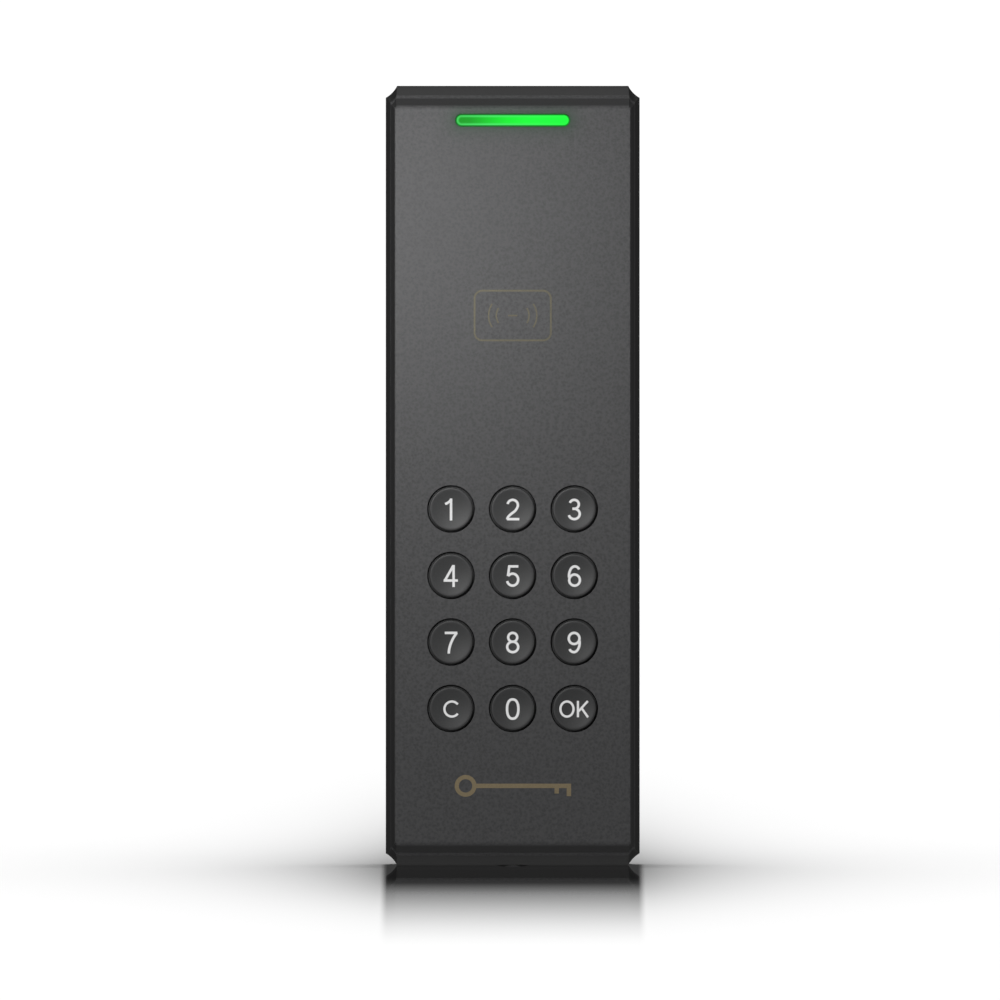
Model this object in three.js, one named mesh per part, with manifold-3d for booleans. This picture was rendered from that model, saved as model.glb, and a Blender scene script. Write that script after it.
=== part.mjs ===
// Keypad access reader: a tall slim wall reader with a light bar, a card area and twelve round keys.
// Millimetres, +Z up. The origin is the centre of the wall plate's back face, and the front faces -Y.
import * as THREE from 'three';
import { mergeVertices } from 'three/addons/utils/BufferGeometryUtils.js';
import Module from 'manifold-3d';

// Outline of the whole reader, as half sizes across (X) and up (Z).
const HALF_WIDTH = 25;
const HALF_HEIGHT = 76.75;
const FACE_HALF_WIDTH = 23.04;
const FACE_HALF_HEIGHT = 72.15;
const RIDGE_HALF_WIDTH = 24;
const RIDGE_HALF_HEIGHT = 74.6;

// Corner cuts: how far each runs across and up, and how deep the scoop is, at three levels.
const HOUSING_CUT = { across: 2.25, up: 2.35, scoop: 0.17 };
const RIDGE_CUT = { across: 1.2, up: 1.4, scoop: 0.14 };
const FACE_CUT = { across: 0.3, up: 0.35, scoop: 0.03 };
const SCOOP_STEPS = 4;

// Levels along the depth, from the wall (0) to the front.
const WALL_PLATE_Y = -1.6;
const HOUSING_BACK_Y = -0.3;
const FLOOR_BACK_Y = -3;
const FLOOR_FRONT_Y = -4.5;
const SHOULDER_Y = -9.5;
const LEDGE_BACK_Y = -10.4;
const LEDGE_FRONT_Y = -11.9;
const RIDGE_Y = -15;
const PARTING_HALF_GAP = 0.15;
const COVER_BACK_Y = -22;
const FACE_Y = -24;
const BOARD_BACK_Y = -16.4;
const BOARD_FRONT_Y = -18;

const GAP = 0.3;
const OVERRUN = 1;
const FINE_STEPS = 24;
const COARSE_STEPS = 12;

// Rear housing.
const CAVITY = { halfX: 23, halfZ: 74.2, radius: 2 };
const RECESS = { halfX: 23.2, halfZ: 74.9, radius: 2 };
const MOUTH = { halfX: 22.6, halfZ: 72.9, radius: 1.2 };
const LEDGE = { halfX: 21.4, halfZ: 71.4, radius: 1 };
const COVER_BOSS_X = 17.5;
const COVER_BOSS_Z = 66.5;
const BOARD_POST_X = 17.5;
const BOARD_POST_Z = 3.2;
const CABLE_Z = -16;
const CABLE_HOLE_RADIUS = 8;
const TAMPER_X = 10;
const TAMPER_Z = 36;
const SCREW_BLOCK = { halfX: 5.5, backY: -3.6, frontY: -10.6, topZ: -72.3 };
const SECURITY_Y = -6.2;

// Front cover.
const TONGUE = { halfX: 22.2, halfZ: 72.5, radius: 0.9 };
const TONGUE_BACK_Y = -13.2;
const COVER_HOLLOW = { halfX: 21.4, halfZ: 71.1, radius: 0.8 };
const COVER_BOSS_RADIUS = 2.6;
const COVER_BOSS_BACK_Y = -9;

// Keys: four rows of three, each a dished cap held behind the cover by its flange.
const KEY_NAMES = [
  ['1', '2', '3'],
  ['4', '5', '6'],
  ['7', '8', '9'],
  ['c', '0', 'ok'],
];
const KEY_PITCH_X = 12.04;
const KEY_PITCH_Z = 12.99;
const TOP_KEY_Z = -6.55;
const KEY_RADIUS = 4.2;
const KEY_HOLE_RADIUS = 4.65;
const KEY_RIM_Y = -24.2;
const KEY_RIM_WIDTH = 0.4;
const KEY_RIM_ROUND = 0.25;
const DISH_DEPTH = 0.4;
const DISH_STEPS = 2;
const KEY_FLANGE_RADIUS = 5.4;
const KEY_FLANGE_FRONT_Y = -21.7;
const KEY_BACK_Y = -20.9;
const DOME_RADIUS = 3.1;
const DOME_PILL_RADIUS = 1.9;
const DOME_FRONT_Y = -20.6;
const DOME_SKIRT_Y = -19.6;
const DOME_BACK_Y = -19.1;
const MAT = { halfX: 19.6, topZ: 0.2, bottomZ: -53.2, radius: 2, frontY: -19, backY: -18.3 };
const MAT_HOLE_RADIUS = 3.9;

// Light bar.
const LIGHT_Z = 69.4;
const LIGHT_SLOT = { halfX: 11.3, halfZ: 1.25 };
const LIGHT_BAR = { halfX: 11, halfZ: 0.95 };
const LIGHT_FLANGE = { halfX: 12.4, halfZ: 1.7, frontY: -21.7, backY: -20.8 };
const LIGHT_GUIDE_BACK_Y = -19.6;
const LED_PITCH = 7.4;
const LED_SIZE = { x: 3.2, y: 1, z: 2.4 };

// Wall plate.
const PLATE = { halfX: 22.7, halfZ: 74.3, radius: 2.2 };
const PLATE_WINDOW = { halfX: 11, halfZ: 9, radius: 2 };
const SCREW_SLOT = { halfX: 2, halfZ: 4 };
const SCREW_SLOT_HEIGHTS = [-41.65, -30, 30, 41.65];
const HOOK_X = 7;
const HOOK = { halfX: 3, lowZ: 66, stemTopZ: 67.5, lipTopZ: 69.6, frontY: -7, lipBackY: -5.5 };
const HOOK_SLOT = { halfX: 3.8, lowZ: 64.2, topZ: 68.3 };
const PLATE_TAB = { halfX: 5, lowZ: -71.8, topZ: -70.3, frontY: -9.6 };
const TAB_SLOT = { halfX: 5.8, lowZ: -72.5, topZ: -69.6 };

// Screws, each a turned head and shank.
const COVER_SCREW = { headRadius: 2.7, headLength: 1.6, shankRadius: 1.2, length: 11.8 };
const COVER_SCREW_HEAD_Y = -3.6;
const COVER_SCREW_BORE = 1.5;
const COVER_SCREW_SINK = { radius: 3.1, frontY: -5.6 };
const HOUSING_BOSS_RADIUS = 4.4;
const HOUSING_BOSS_FRONT_Y = -8.7;
const BOARD_SCREW = { headRadius: 2.3, headLength: 1.4, shankRadius: 1.1, length: 7 };
const BOARD_POST_RADIUS = 2.9;
const BOARD_POST_BORE = 1.4;
const SECURITY_SCREW = { headRadius: 2.8, headLength: 1.6, shankRadius: 1.4, length: 6.4 };
const SECURITY_HEAD_Z = -76.4;
const SECURITY_BORE = 1.7;
const SECURITY_SINK = { radius: 3.1, topZ: -74.5 };
const DRIVE_RADIUS = 1.1;
const DRIVE_DEPTH = 0.9;

// Board and what is soldered to it.
const BOARD = { halfX: 21, halfZ: 70.7, radius: 1 };
const BOARD_BOSS_HOLE = 3;
const BOARD_SCREW_HOLE = 1.4;
const COIL = { halfX: 19.2, halfZ: 27.5, centreZ: 35, width: 2.6, radius: 3, frontY: -19.1, backY: -18.3 };
const PART_BACK_OFFSET = BOARD_BACK_Y + GAP;
const CHIPS = [
  { name: 'microcontroller', x: 0, z: -38, sizeX: 10, sizeZ: 10, height: 1.4, colour: 0x17181a },
  { name: 'card_reader_chip', x: 0, z: 28, sizeX: 6, sizeZ: 6, height: 1, colour: 0x191a1c },
  { name: 'voltage_regulator', x: -13, z: 21, sizeX: 6.6, sizeZ: 6.2, height: 2.3, colour: 0x1b1b1d },
];
const TERMINAL = { x: 0, z: 10, sizeX: 21, sizeZ: 8, height: 8.6, ways: 6, wayRadius: 1.15, wayDepth: 4 };
const BUZZER = { x: 0, z: 48, radius: 6, height: 5.6, holeRadius: 1, holeDepth: 1.5 };
const CAPACITOR = { x: 13, z: -36, radius: 3.1, height: 7.4 };
const TAMPER_BODY = { size: 6.4, height: 5.5, bore: 1.55, boreDepth: 4.6 };
const TAMPER_PLUNGER = { radius: 1.2, frontY: -13.4, backY: -1.9, tipRound: 0.4 };

// Seals.
const GASKET = { halfX: 22.3, halfZ: 72.6, width: 0.8, radius: 1, frontY: -12.9, backY: -12.2 };
const GROMMET = { boreRadius: 5.5, neckRadius: 7.7, flangeRadius: 9.8, flange: 0.6 };

const COLOURS = {
  cover: 0x505053,
  housing: 0x262628,
  key: 0x3a3a3c,
  rubber: 0x2b2b2d,
  lens: 0x22e63c,
  led: 0xe9edd8,
  board: 0x1d5a36,
  copper: 0xb06a3a,
  steel: 0xb4b6b9,
  zinc: 0xc4c7ca,
  blackPlastic: 0x1c1c1e,
  terminal: 0x2f7a4a,
  aluminium: 0xbfc2c6,
  white: 0xd9d9d4,
};

const wasm = await Module();
wasm.setup();

// Conversions between three.js geometry and a solid that can be joined and cut.
function solidFrom(geometry) {
  const bare = geometry.clone();
  bare.deleteAttribute('normal');
  bare.deleteAttribute('uv');
  const merged = mergeVertices(bare, 1e-4);
  return new wasm.Manifold(new wasm.Mesh({
    numProp: 3,
    vertProperties: merged.attributes.position.array,
    triVerts: new Uint32Array(merged.index.array),
  }));
}

function geometryFrom(solid) {
  const mesh = solid.getMesh();
  const geometry = new THREE.BufferGeometry();
  geometry.setAttribute('position', new THREE.BufferAttribute(mesh.vertProperties, 3));
  geometry.setIndex(new THREE.BufferAttribute(mesh.triVerts, 1));
  const flat = geometry.toNonIndexed();
  flat.computeVertexNormals();
  return flat;
}

const joined = (first, ...others) => others.reduce((sum, other) => sum.add(other), first);
const cut = (first, ...others) => others.reduce((left, other) => left.subtract(other), first);

// Outlines are drawn across (X) and up (Z) and carried as points.
function roundedOutline({ halfX, halfZ, radius }, steps = 4) {
  const points = [];
  const corners = [[1, 1], [-1, 1], [-1, -1], [1, -1]];
  corners.forEach(([sideX, sideZ], corner) => {
    for (let i = 0; i <= steps; i++) {
      const angle = (corner + i / steps) * Math.PI / 2;
      points.push(new THREE.Vector2(
        sideX * (halfX - radius) + radius * Math.cos(angle),
        sideZ * (halfZ - radius) + radius * Math.sin(angle),
      ));
    }
  });
  return points;
}

// A rectangle whose corners are cut off along a shallow hollow curve.
function scoopedOutline(halfX, halfZ, { across, up, scoop }) {
  const points = [];
  const corners = [[1, 1], [-1, 1], [-1, -1], [1, -1]];
  corners.forEach(([sideX, sideZ], corner) => {
    for (let i = 0; i <= SCOOP_STEPS; i++) {
      const along = i / SCOOP_STEPS;
      const turn = corner % 2 ? 1 - along : along;
      const inward = scoop * 4 * turn * (1 - turn);
      points.push(new THREE.Vector2(
        sideX * (halfX - across * turn - inward),
        sideZ * (halfZ - up * (1 - turn) - inward),
      ));
    }
  });
  return points;
}

const circleOutline = (radius, steps = FINE_STEPS) => Array.from({ length: steps }, (_, i) =>
  new THREE.Vector2(Math.cos(i / steps * 2 * Math.PI), Math.sin(i / steps * 2 * Math.PI))
    .multiplyScalar(radius));

// A slab of an outline between two depths; a second outline of as many points makes it taper forwards.
function slab(outline, backY, frontY, frontOutline = outline) {
  const geometry = new THREE.ExtrudeGeometry(new THREE.Shape(outline), {
    depth: backY - frontY,
    bevelEnabled: false,
  });
  const position = geometry.attributes.position;
  for (let i = 0; i < position.count; i++) {
    if (position.getZ(i) < (backY - frontY) / 2) continue;
    const nearest = outline.findIndex((point) =>
      Math.hypot(point.x - position.getX(i), point.y - position.getY(i)) < 1e-4);
    position.setXY(i, frontOutline[nearest].x, frontOutline[nearest].y);
  }
  geometry.rotateX(Math.PI / 2).translate(0, backY, 0);
  return solidFrom(geometry);
}

// A solid turned about the depth axis from (radius, y) points, moved to its place across and up.
function turned(points, x = 0, z = 0, steps = FINE_STEPS) {
  const profile = points.map(([radius, y]) => new THREE.Vector2(radius, y));
  const area = profile.reduce((sum, point, i) => sum + point.cross(profile[(i + 1) % profile.length]), 0);
  if (area < 0) profile.reverse();
  const geometry = new THREE.LatheGeometry([...profile, profile[0]], steps);
  return solidFrom(geometry.translate(x, 0, z));
}

const rod = (radius, backY, frontY, x = 0, z = 0, steps = FINE_STEPS) =>
  turned([[0, frontY], [radius, frontY], [radius, backY], [0, backY]], x, z, steps);

function block(lowX, highX, frontY, backY, lowZ, highZ) {
  const geometry = new THREE.BoxGeometry(highX - lowX, backY - frontY, highZ - lowZ);
  return solidFrom(geometry.translate((lowX + highX) / 2, (frontY + backY) / 2, (lowZ + highZ) / 2));
}

const group = new THREE.Group();

function addPart(name, solid, colour, roughness, metalness = 0, parent = group) {
  const material = new THREE.MeshStandardMaterial({ color: colour, roughness, metalness });
  const mesh = new THREE.Mesh(geometryFrom(solid), material);
  mesh.name = name;
  parent.add(mesh);
  return mesh;
}

const keyPlaces = KEY_NAMES.flatMap((row, rowIndex) => row.map((name, column) => ({
  name,
  x: (column - 1) * KEY_PITCH_X,
  z: TOP_KEY_Z - rowIndex * KEY_PITCH_Z,
})));

const bothSides = [-1, 1];
const coverBossPlaces = bothSides.flatMap((sideZ) => bothSides.map((sideX) =>
  ({ x: sideX * COVER_BOSS_X, z: sideZ * COVER_BOSS_Z })));
const boardPostPlaces = bothSides.map((side) => ({ x: side * BOARD_POST_X, z: BOARD_POST_Z }));

const ridgeOutline = scoopedOutline(RIDGE_HALF_WIDTH, RIDGE_HALF_HEIGHT, RIDGE_CUT);
const faceOutline = scoopedOutline(FACE_HALF_WIDTH, FACE_HALF_HEIGHT, FACE_CUT);
const housingOutline = scoopedOutline(HALF_WIDTH, HALF_HEIGHT, HOUSING_CUT);

// Front cover: a bevelled plate with key holes, a light slot, a tongue all round and four screw bosses.
function frontCover() {
  const rimY = RIDGE_Y - PARTING_HALF_GAP;
  const shell = cut(
    joined(
      slab(ridgeOutline, rimY, FACE_Y, faceOutline),
      slab(roundedOutline(TONGUE), TONGUE_BACK_Y, rimY - OVERRUN),
    ),
    slab(roundedOutline(COVER_HOLLOW), TONGUE_BACK_Y + OVERRUN, COVER_BACK_Y),
  );
  const bosses = coverBossPlaces.map(({ x, z }) =>
    rod(COVER_BOSS_RADIUS, COVER_BOSS_BACK_Y, COVER_BACK_Y - OVERRUN, x, z, COARSE_STEPS));
  const bores = coverBossPlaces.map(({ x, z }) =>
    rod(COVER_SCREW_BORE, COVER_BOSS_BACK_Y + OVERRUN, COVER_BACK_Y + OVERRUN, x, z, COARSE_STEPS));
  const keyHoles = keyPlaces.map(({ x, z }) =>
    rod(KEY_HOLE_RADIUS, COVER_BACK_Y + OVERRUN, FACE_Y - OVERRUN, x, z));
  return cut(joined(shell, ...bosses), ...bores, ...keyHoles, lightStadium(LIGHT_SLOT,
    COVER_BACK_Y + OVERRUN, FACE_Y - OVERRUN));
}

// A bar with round ends at the light's place.
function lightStadium({ halfX, halfZ }, backY, frontY) {
  const outline = roundedOutline({ halfX, halfZ, radius: halfZ * 0.999 }, 6)
    .map((point) => point.add(new THREE.Vector2(0, LIGHT_Z)));
  return slab(outline, backY, frontY);
}

function lightGuide() {
  const feet = [-1, 0, 1].map((place) => block(
    place * LED_PITCH - LED_SIZE.x / 2, place * LED_PITCH + LED_SIZE.x / 2,
    LIGHT_FLANGE.backY - GAP, LIGHT_GUIDE_BACK_Y,
    LIGHT_Z - LED_SIZE.z / 2, LIGHT_Z + LED_SIZE.z / 2));
  return joined(
    lightStadium(LIGHT_BAR, LIGHT_FLANGE.backY, FACE_Y),
    lightStadium(LIGHT_FLANGE, LIGHT_FLANGE.backY, LIGHT_FLANGE.frontY),
    ...feet,
  );
}

// Rear housing: straight walls and a sloping shoulder around a floor, with bosses, posts and openings.
function rearHousing() {
  const outside = joined(
    slab(housingOutline, HOUSING_BACK_Y, SHOULDER_Y),
    slab(housingOutline, SHOULDER_Y, RIDGE_Y + PARTING_HALF_GAP, ridgeOutline),
  );
  const shell = cut(
    outside,
    slab(roundedOutline(MOUTH), LEDGE_FRONT_Y, RIDGE_Y - OVERRUN),
    slab(roundedOutline(LEDGE), LEDGE_BACK_Y + OVERRUN, LEDGE_FRONT_Y - OVERRUN),
    slab(roundedOutline(CAVITY), FLOOR_FRONT_Y, LEDGE_BACK_Y),
    slab(roundedOutline(RECESS), HOUSING_BACK_Y + OVERRUN, FLOOR_BACK_Y),
  );
  const bosses = coverBossPlaces.map(({ x, z }) =>
    rod(HOUSING_BOSS_RADIUS, FLOOR_FRONT_Y + OVERRUN, HOUSING_BOSS_FRONT_Y, x, z, COARSE_STEPS));
  const posts = boardPostPlaces.map(({ x, z }) =>
    rod(BOARD_POST_RADIUS, FLOOR_FRONT_Y + OVERRUN, BOARD_BACK_Y + GAP, x, z, COARSE_STEPS));
  const screwBlock = block(-SCREW_BLOCK.halfX, SCREW_BLOCK.halfX, SCREW_BLOCK.frontY,
    SCREW_BLOCK.backY, -HALF_HEIGHT + OVERRUN, SCREW_BLOCK.topZ);
  const bossBores = coverBossPlaces.flatMap(({ x, z }) => [
    rod(COVER_SCREW_BORE, FLOOR_BACK_Y + OVERRUN, HOUSING_BOSS_FRONT_Y - OVERRUN, x, z, COARSE_STEPS),
    rod(COVER_SCREW_SINK.radius, FLOOR_BACK_Y + OVERRUN, COVER_SCREW_SINK.frontY, x, z, COARSE_STEPS),
  ]);
  const postBores = boardPostPlaces.map(({ x, z }) =>
    rod(BOARD_POST_BORE, FLOOR_FRONT_Y - OVERRUN, BOARD_BACK_Y - OVERRUN, x, z, COARSE_STEPS));
  const hookSlots = bothSides.map((side) => block(side * HOOK_X - HOOK_SLOT.halfX,
    side * HOOK_X + HOOK_SLOT.halfX, FLOOR_FRONT_Y - OVERRUN, FLOOR_BACK_Y + OVERRUN,
    HOOK_SLOT.lowZ, HOOK_SLOT.topZ));
  return cut(
    joined(shell, ...bosses, ...posts, screwBlock),
    ...bossBores,
    ...postBores,
    ...hookSlots,
    block(-TAB_SLOT.halfX, TAB_SLOT.halfX, FLOOR_FRONT_Y - OVERRUN, FLOOR_BACK_Y + OVERRUN,
      TAB_SLOT.lowZ, TAB_SLOT.topZ),
    rod(CABLE_HOLE_RADIUS, FLOOR_BACK_Y + OVERRUN, FLOOR_FRONT_Y - OVERRUN, 0, CABLE_Z),
    rod(TAMPER_BODY.bore, FLOOR_BACK_Y + OVERRUN, FLOOR_FRONT_Y - OVERRUN, TAMPER_X, TAMPER_Z,
      COARSE_STEPS),
    upright(SECURITY_BORE, -HALF_HEIGHT - OVERRUN, SCREW_BLOCK.topZ + OVERRUN),
    upright(SECURITY_SINK.radius, -HALF_HEIGHT - OVERRUN, SECURITY_SINK.topZ),
  );
}

// An upright cylinder on the security screw's line.
function upright(radius, lowZ, highZ) {
  const geometry = new THREE.CylinderGeometry(radius, radius, highZ - lowZ, COARSE_STEPS);
  return solidFrom(geometry.rotateX(Math.PI / 2).translate(0, SECURITY_Y, (lowZ + highZ) / 2));
}

// Wall plate: folded sheet steel with fixing slots, a cable window, two hooks and a threaded tab.
function wallPlate() {
  const windowOutline = roundedOutline(PLATE_WINDOW)
    .map((point) => point.add(new THREE.Vector2(0, CABLE_Z)));
  const slots = SCREW_SLOT_HEIGHTS.map((height) => slab(
    roundedOutline({ ...SCREW_SLOT, radius: SCREW_SLOT.halfX * 0.999 })
      .map((point) => point.add(new THREE.Vector2(0, height))),
    OVERRUN, WALL_PLATE_Y - OVERRUN));
  const hooks = bothSides.flatMap((side) => {
    const lowX = side * HOOK_X - HOOK.halfX;
    const highX = side * HOOK_X + HOOK.halfX;
    return [
      block(lowX, highX, HOOK.frontY, WALL_PLATE_Y / 2, HOOK.lowZ, HOOK.stemTopZ),
      block(lowX, highX, HOOK.frontY, HOOK.lipBackY, HOOK.lowZ, HOOK.lipTopZ),
    ];
  });
  const tab = block(-PLATE_TAB.halfX, PLATE_TAB.halfX, PLATE_TAB.frontY, WALL_PLATE_Y / 2,
    PLATE_TAB.lowZ, PLATE_TAB.topZ);
  return cut(
    joined(slab(roundedOutline(PLATE), 0, WALL_PLATE_Y), ...hooks, tab),
    slab(windowOutline, OVERRUN, WALL_PLATE_Y - OVERRUN),
    ...slots,
    upright(SECURITY_BORE, PLATE_TAB.lowZ - OVERRUN, PLATE_TAB.topZ + OVERRUN),
  );
}

// Key cap: a dished face inside a rounded rim, a straight side and a retaining flange.
function keyCap() {
  const dishRadius = KEY_RADIUS - KEY_RIM_WIDTH;
  const dish = Array.from({ length: DISH_STEPS + 1 }, (_, i) => {
    const share = i / DISH_STEPS;
    return [dishRadius * share, KEY_RIM_Y + DISH_DEPTH * (1 - share * share)];
  });
  return turned([
    ...dish,
    [KEY_RADIUS - KEY_RIM_ROUND / 2, KEY_RIM_Y],
    [KEY_RADIUS, KEY_RIM_Y + KEY_RIM_ROUND],
    [KEY_RADIUS, KEY_FLANGE_FRONT_Y],
    [KEY_FLANGE_RADIUS, KEY_FLANGE_FRONT_Y],
    [KEY_FLANGE_RADIUS, KEY_BACK_Y],
    [0, KEY_BACK_Y],
  ]);
}

// Rubber dome under a key, with its contact pill at the back.
function keyDome() {
  return turned([
    [0, DOME_FRONT_Y],
    [DOME_PILL_RADIUS, DOME_FRONT_Y],
    [DOME_RADIUS, DOME_SKIRT_Y],
    [DOME_PILL_RADIUS, DOME_SKIRT_Y],
    [DOME_PILL_RADIUS, DOME_BACK_Y],
    [0, DOME_BACK_Y],
  ], 0, 0, COARSE_STEPS);
}

function keypadMat() {
  const centreZ = (MAT.topZ + MAT.bottomZ) / 2;
  const outline = roundedOutline({ ...MAT, halfZ: (MAT.topZ - MAT.bottomZ) / 2 })
    .map((point) => point.add(new THREE.Vector2(0, centreZ)));
  const holes = keyPlaces.map(({ x, z }) =>
    rod(MAT_HOLE_RADIUS, MAT.backY + OVERRUN, MAT.frontY - OVERRUN, x, z, COARSE_STEPS));
  return cut(slab(outline, MAT.backY, MAT.frontY), ...holes);
}

// A flat ring of constant width.
function ring({ halfX, halfZ, width, radius, frontY, backY }, centreZ = 0) {
  const raised = (point) => point.add(new THREE.Vector2(0, centreZ));
  const inner = { halfX: halfX - width, halfZ: halfZ - width, radius: Math.max(radius - width, GAP) };
  return cut(
    slab(roundedOutline({ halfX, halfZ, radius }).map(raised), backY, frontY),
    slab(roundedOutline(inner).map(raised), backY + OVERRUN, frontY - OVERRUN),
  );
}

function mainBoard() {
  return cut(
    slab(roundedOutline(BOARD), BOARD_BACK_Y, BOARD_FRONT_Y),
    ...coverBossPlaces.map(({ x, z }) =>
      rod(BOARD_BOSS_HOLE, BOARD_BACK_Y + OVERRUN, BOARD_FRONT_Y - OVERRUN, x, z, COARSE_STEPS)),
    ...boardPostPlaces.map(({ x, z }) =>
      rod(BOARD_SCREW_HOLE, BOARD_BACK_Y + OVERRUN, BOARD_FRONT_Y - OVERRUN, x, z, COARSE_STEPS)),
  );
}

// A screw whose head is at y = 0 and whose shank points to the front (-Y).
function screw({ headRadius, headLength, shankRadius, length }) {
  const body = joined(
    rod(headRadius, 0, -headLength, 0, 0, COARSE_STEPS),
    rod(shankRadius, -headLength / 2, -headLength - length, 0, 0, COARSE_STEPS),
  );
  return cut(body, slab(circleOutline(DRIVE_RADIUS, 6), OVERRUN, -DRIVE_DEPTH));
}

// What is soldered behind the board stands from its back face towards the wall.
function soldered(x, z, sizeX, sizeZ, height) {
  return block(x - sizeX / 2, x + sizeX / 2, PART_BACK_OFFSET, PART_BACK_OFFSET + height,
    z - sizeZ / 2, z + sizeZ / 2);
}

function terminalBlock() {
  const { x, z, sizeX, sizeZ, height, ways, wayRadius, wayDepth } = TERMINAL;
  const backY = PART_BACK_OFFSET + height;
  const wells = Array.from({ length: ways }, (_, i) => rod(wayRadius, backY + OVERRUN,
    backY - wayDepth, x + (i - (ways - 1) / 2) * sizeX / ways, z, COARSE_STEPS));
  return cut(soldered(x, z, sizeX, sizeZ, height), ...wells);
}

function buzzer() {
  const { x, z, radius, height, holeRadius, holeDepth } = BUZZER;
  const backY = PART_BACK_OFFSET + height;
  return cut(
    rod(radius, backY, PART_BACK_OFFSET, x, z),
    rod(holeRadius, backY + OVERRUN, backY - holeDepth, x, z, COARSE_STEPS),
  );
}

function tamperBody() {
  const { size, height, bore, boreDepth } = TAMPER_BODY;
  const backY = PART_BACK_OFFSET + height;
  return cut(
    soldered(TAMPER_X, TAMPER_Z, size, size, height),
    rod(bore, backY + OVERRUN, backY - boreDepth, TAMPER_X, TAMPER_Z, COARSE_STEPS),
  );
}

function tamperPlunger() {
  const { radius, frontY, backY, tipRound } = TAMPER_PLUNGER;
  return turned([
    [0, frontY],
    [radius, frontY],
    [radius, backY - tipRound],
    [radius - tipRound, backY],
    [0, backY],
  ], TAMPER_X, TAMPER_Z, COARSE_STEPS);
}

function cableGrommet() {
  const { boreRadius, neckRadius, flangeRadius, flange } = GROMMET;
  const frontLip = FLOOR_FRONT_Y - GAP;
  const backLip = FLOOR_BACK_Y + GAP;
  return turned([
    [boreRadius, frontLip - flange],
    [flangeRadius, frontLip - flange],
    [flangeRadius, frontLip],
    [neckRadius, frontLip],
    [neckRadius, backLip],
    [flangeRadius, backLip],
    [flangeRadius, backLip + flange],
    [boreRadius, backLip + flange],
  ], 0, CABLE_Z);
}

// Shells and plate.
addPart('front_cover', frontCover(), COLOURS.cover, 0.62);
addPart('rear_housing', rearHousing(), COLOURS.housing, 0.42);
addPart('wall_plate', wallPlate(), COLOURS.zinc, 0.45, 0.9);
addPart('light_guide', lightGuide(), COLOURS.lens, 0.25);

// Each key and its dome hang in a group at the key's centre.
const capSolid = keyCap();
const domeSolid = keyDome();
for (const { name, x, z } of keyPlaces) {
  const place = new THREE.Group();
  place.position.set(x, 0, z);
  group.add(place);
  addPart(`key_${name}`, capSolid, COLOURS.key, 0.5, 0, place);
  addPart(`key_dome_${name}`, domeSolid, COLOURS.rubber, 0.8, 0, place);
}
addPart('keypad_mat', keypadMat(), COLOURS.rubber, 0.8);

// Electronics.
addPart('main_board', mainBoard(), COLOURS.board, 0.5);
addPart('antenna_coil', ring(COIL, COIL.centreZ), COLOURS.copper, 0.35, 0.8);
[-1, 0, 1].forEach((place, i) => {
  const x = place * LED_PITCH;
  addPart(`status_led_${i + 1}`, block(x - LED_SIZE.x / 2, x + LED_SIZE.x / 2,
    BOARD_FRONT_Y - GAP - LED_SIZE.y, BOARD_FRONT_Y - GAP,
    LIGHT_Z - LED_SIZE.z / 2, LIGHT_Z + LED_SIZE.z / 2), COLOURS.led, 0.4);
});
for (const { name, x, z, sizeX, sizeZ, height, colour } of CHIPS) {
  addPart(name, soldered(x, z, sizeX, sizeZ, height), colour, 0.55);
}
addPart('terminal_block', terminalBlock(), COLOURS.terminal, 0.5);
addPart('buzzer', buzzer(), COLOURS.blackPlastic, 0.5);
addPart('power_capacitor', rod(CAPACITOR.radius, PART_BACK_OFFSET + CAPACITOR.height,
  PART_BACK_OFFSET, CAPACITOR.x, CAPACITOR.z, COARSE_STEPS), COLOURS.aluminium, 0.35, 0.8);
addPart('tamper_switch', tamperBody(), COLOURS.blackPlastic, 0.5);
addPart('tamper_plunger', tamperPlunger(), COLOURS.white, 0.5);

// Seals.
addPart('cover_gasket', ring(GASKET), COLOURS.rubber, 0.8);
addPart('cable_grommet', cableGrommet(), COLOURS.rubber, 0.8);

// Fasteners.
const coverScrewSolid = screw(COVER_SCREW);
coverBossPlaces.forEach(({ x, z }, i) => {
  addPart(`cover_screw_${i + 1}`, coverScrewSolid, COLOURS.steel, 0.3, 0.9)
    .position.set(x, COVER_SCREW_HEAD_Y, z);
});
const boardScrewSolid = screw(BOARD_SCREW);
boardPostPlaces.forEach(({ x, z }, i) => {
  const mesh = addPart(`board_screw_${i + 1}`, boardScrewSolid, COLOURS.steel, 0.3, 0.9);
  mesh.position.set(x, BOARD_FRONT_Y - GAP - BOARD_SCREW.headLength, z);
  mesh.rotation.z = Math.PI;
});
const securityScrew = addPart('security_screw', screw(SECURITY_SCREW), COLOURS.steel, 0.3, 0.9);
securityScrew.position.set(0, SECURITY_Y, SECURITY_HEAD_Z);
securityScrew.rotation.x = -Math.PI / 2;

export default group;
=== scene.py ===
"""Looks of the keypad access reader: shells, keys, printed marks, inner parts, studio."""
import math

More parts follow.
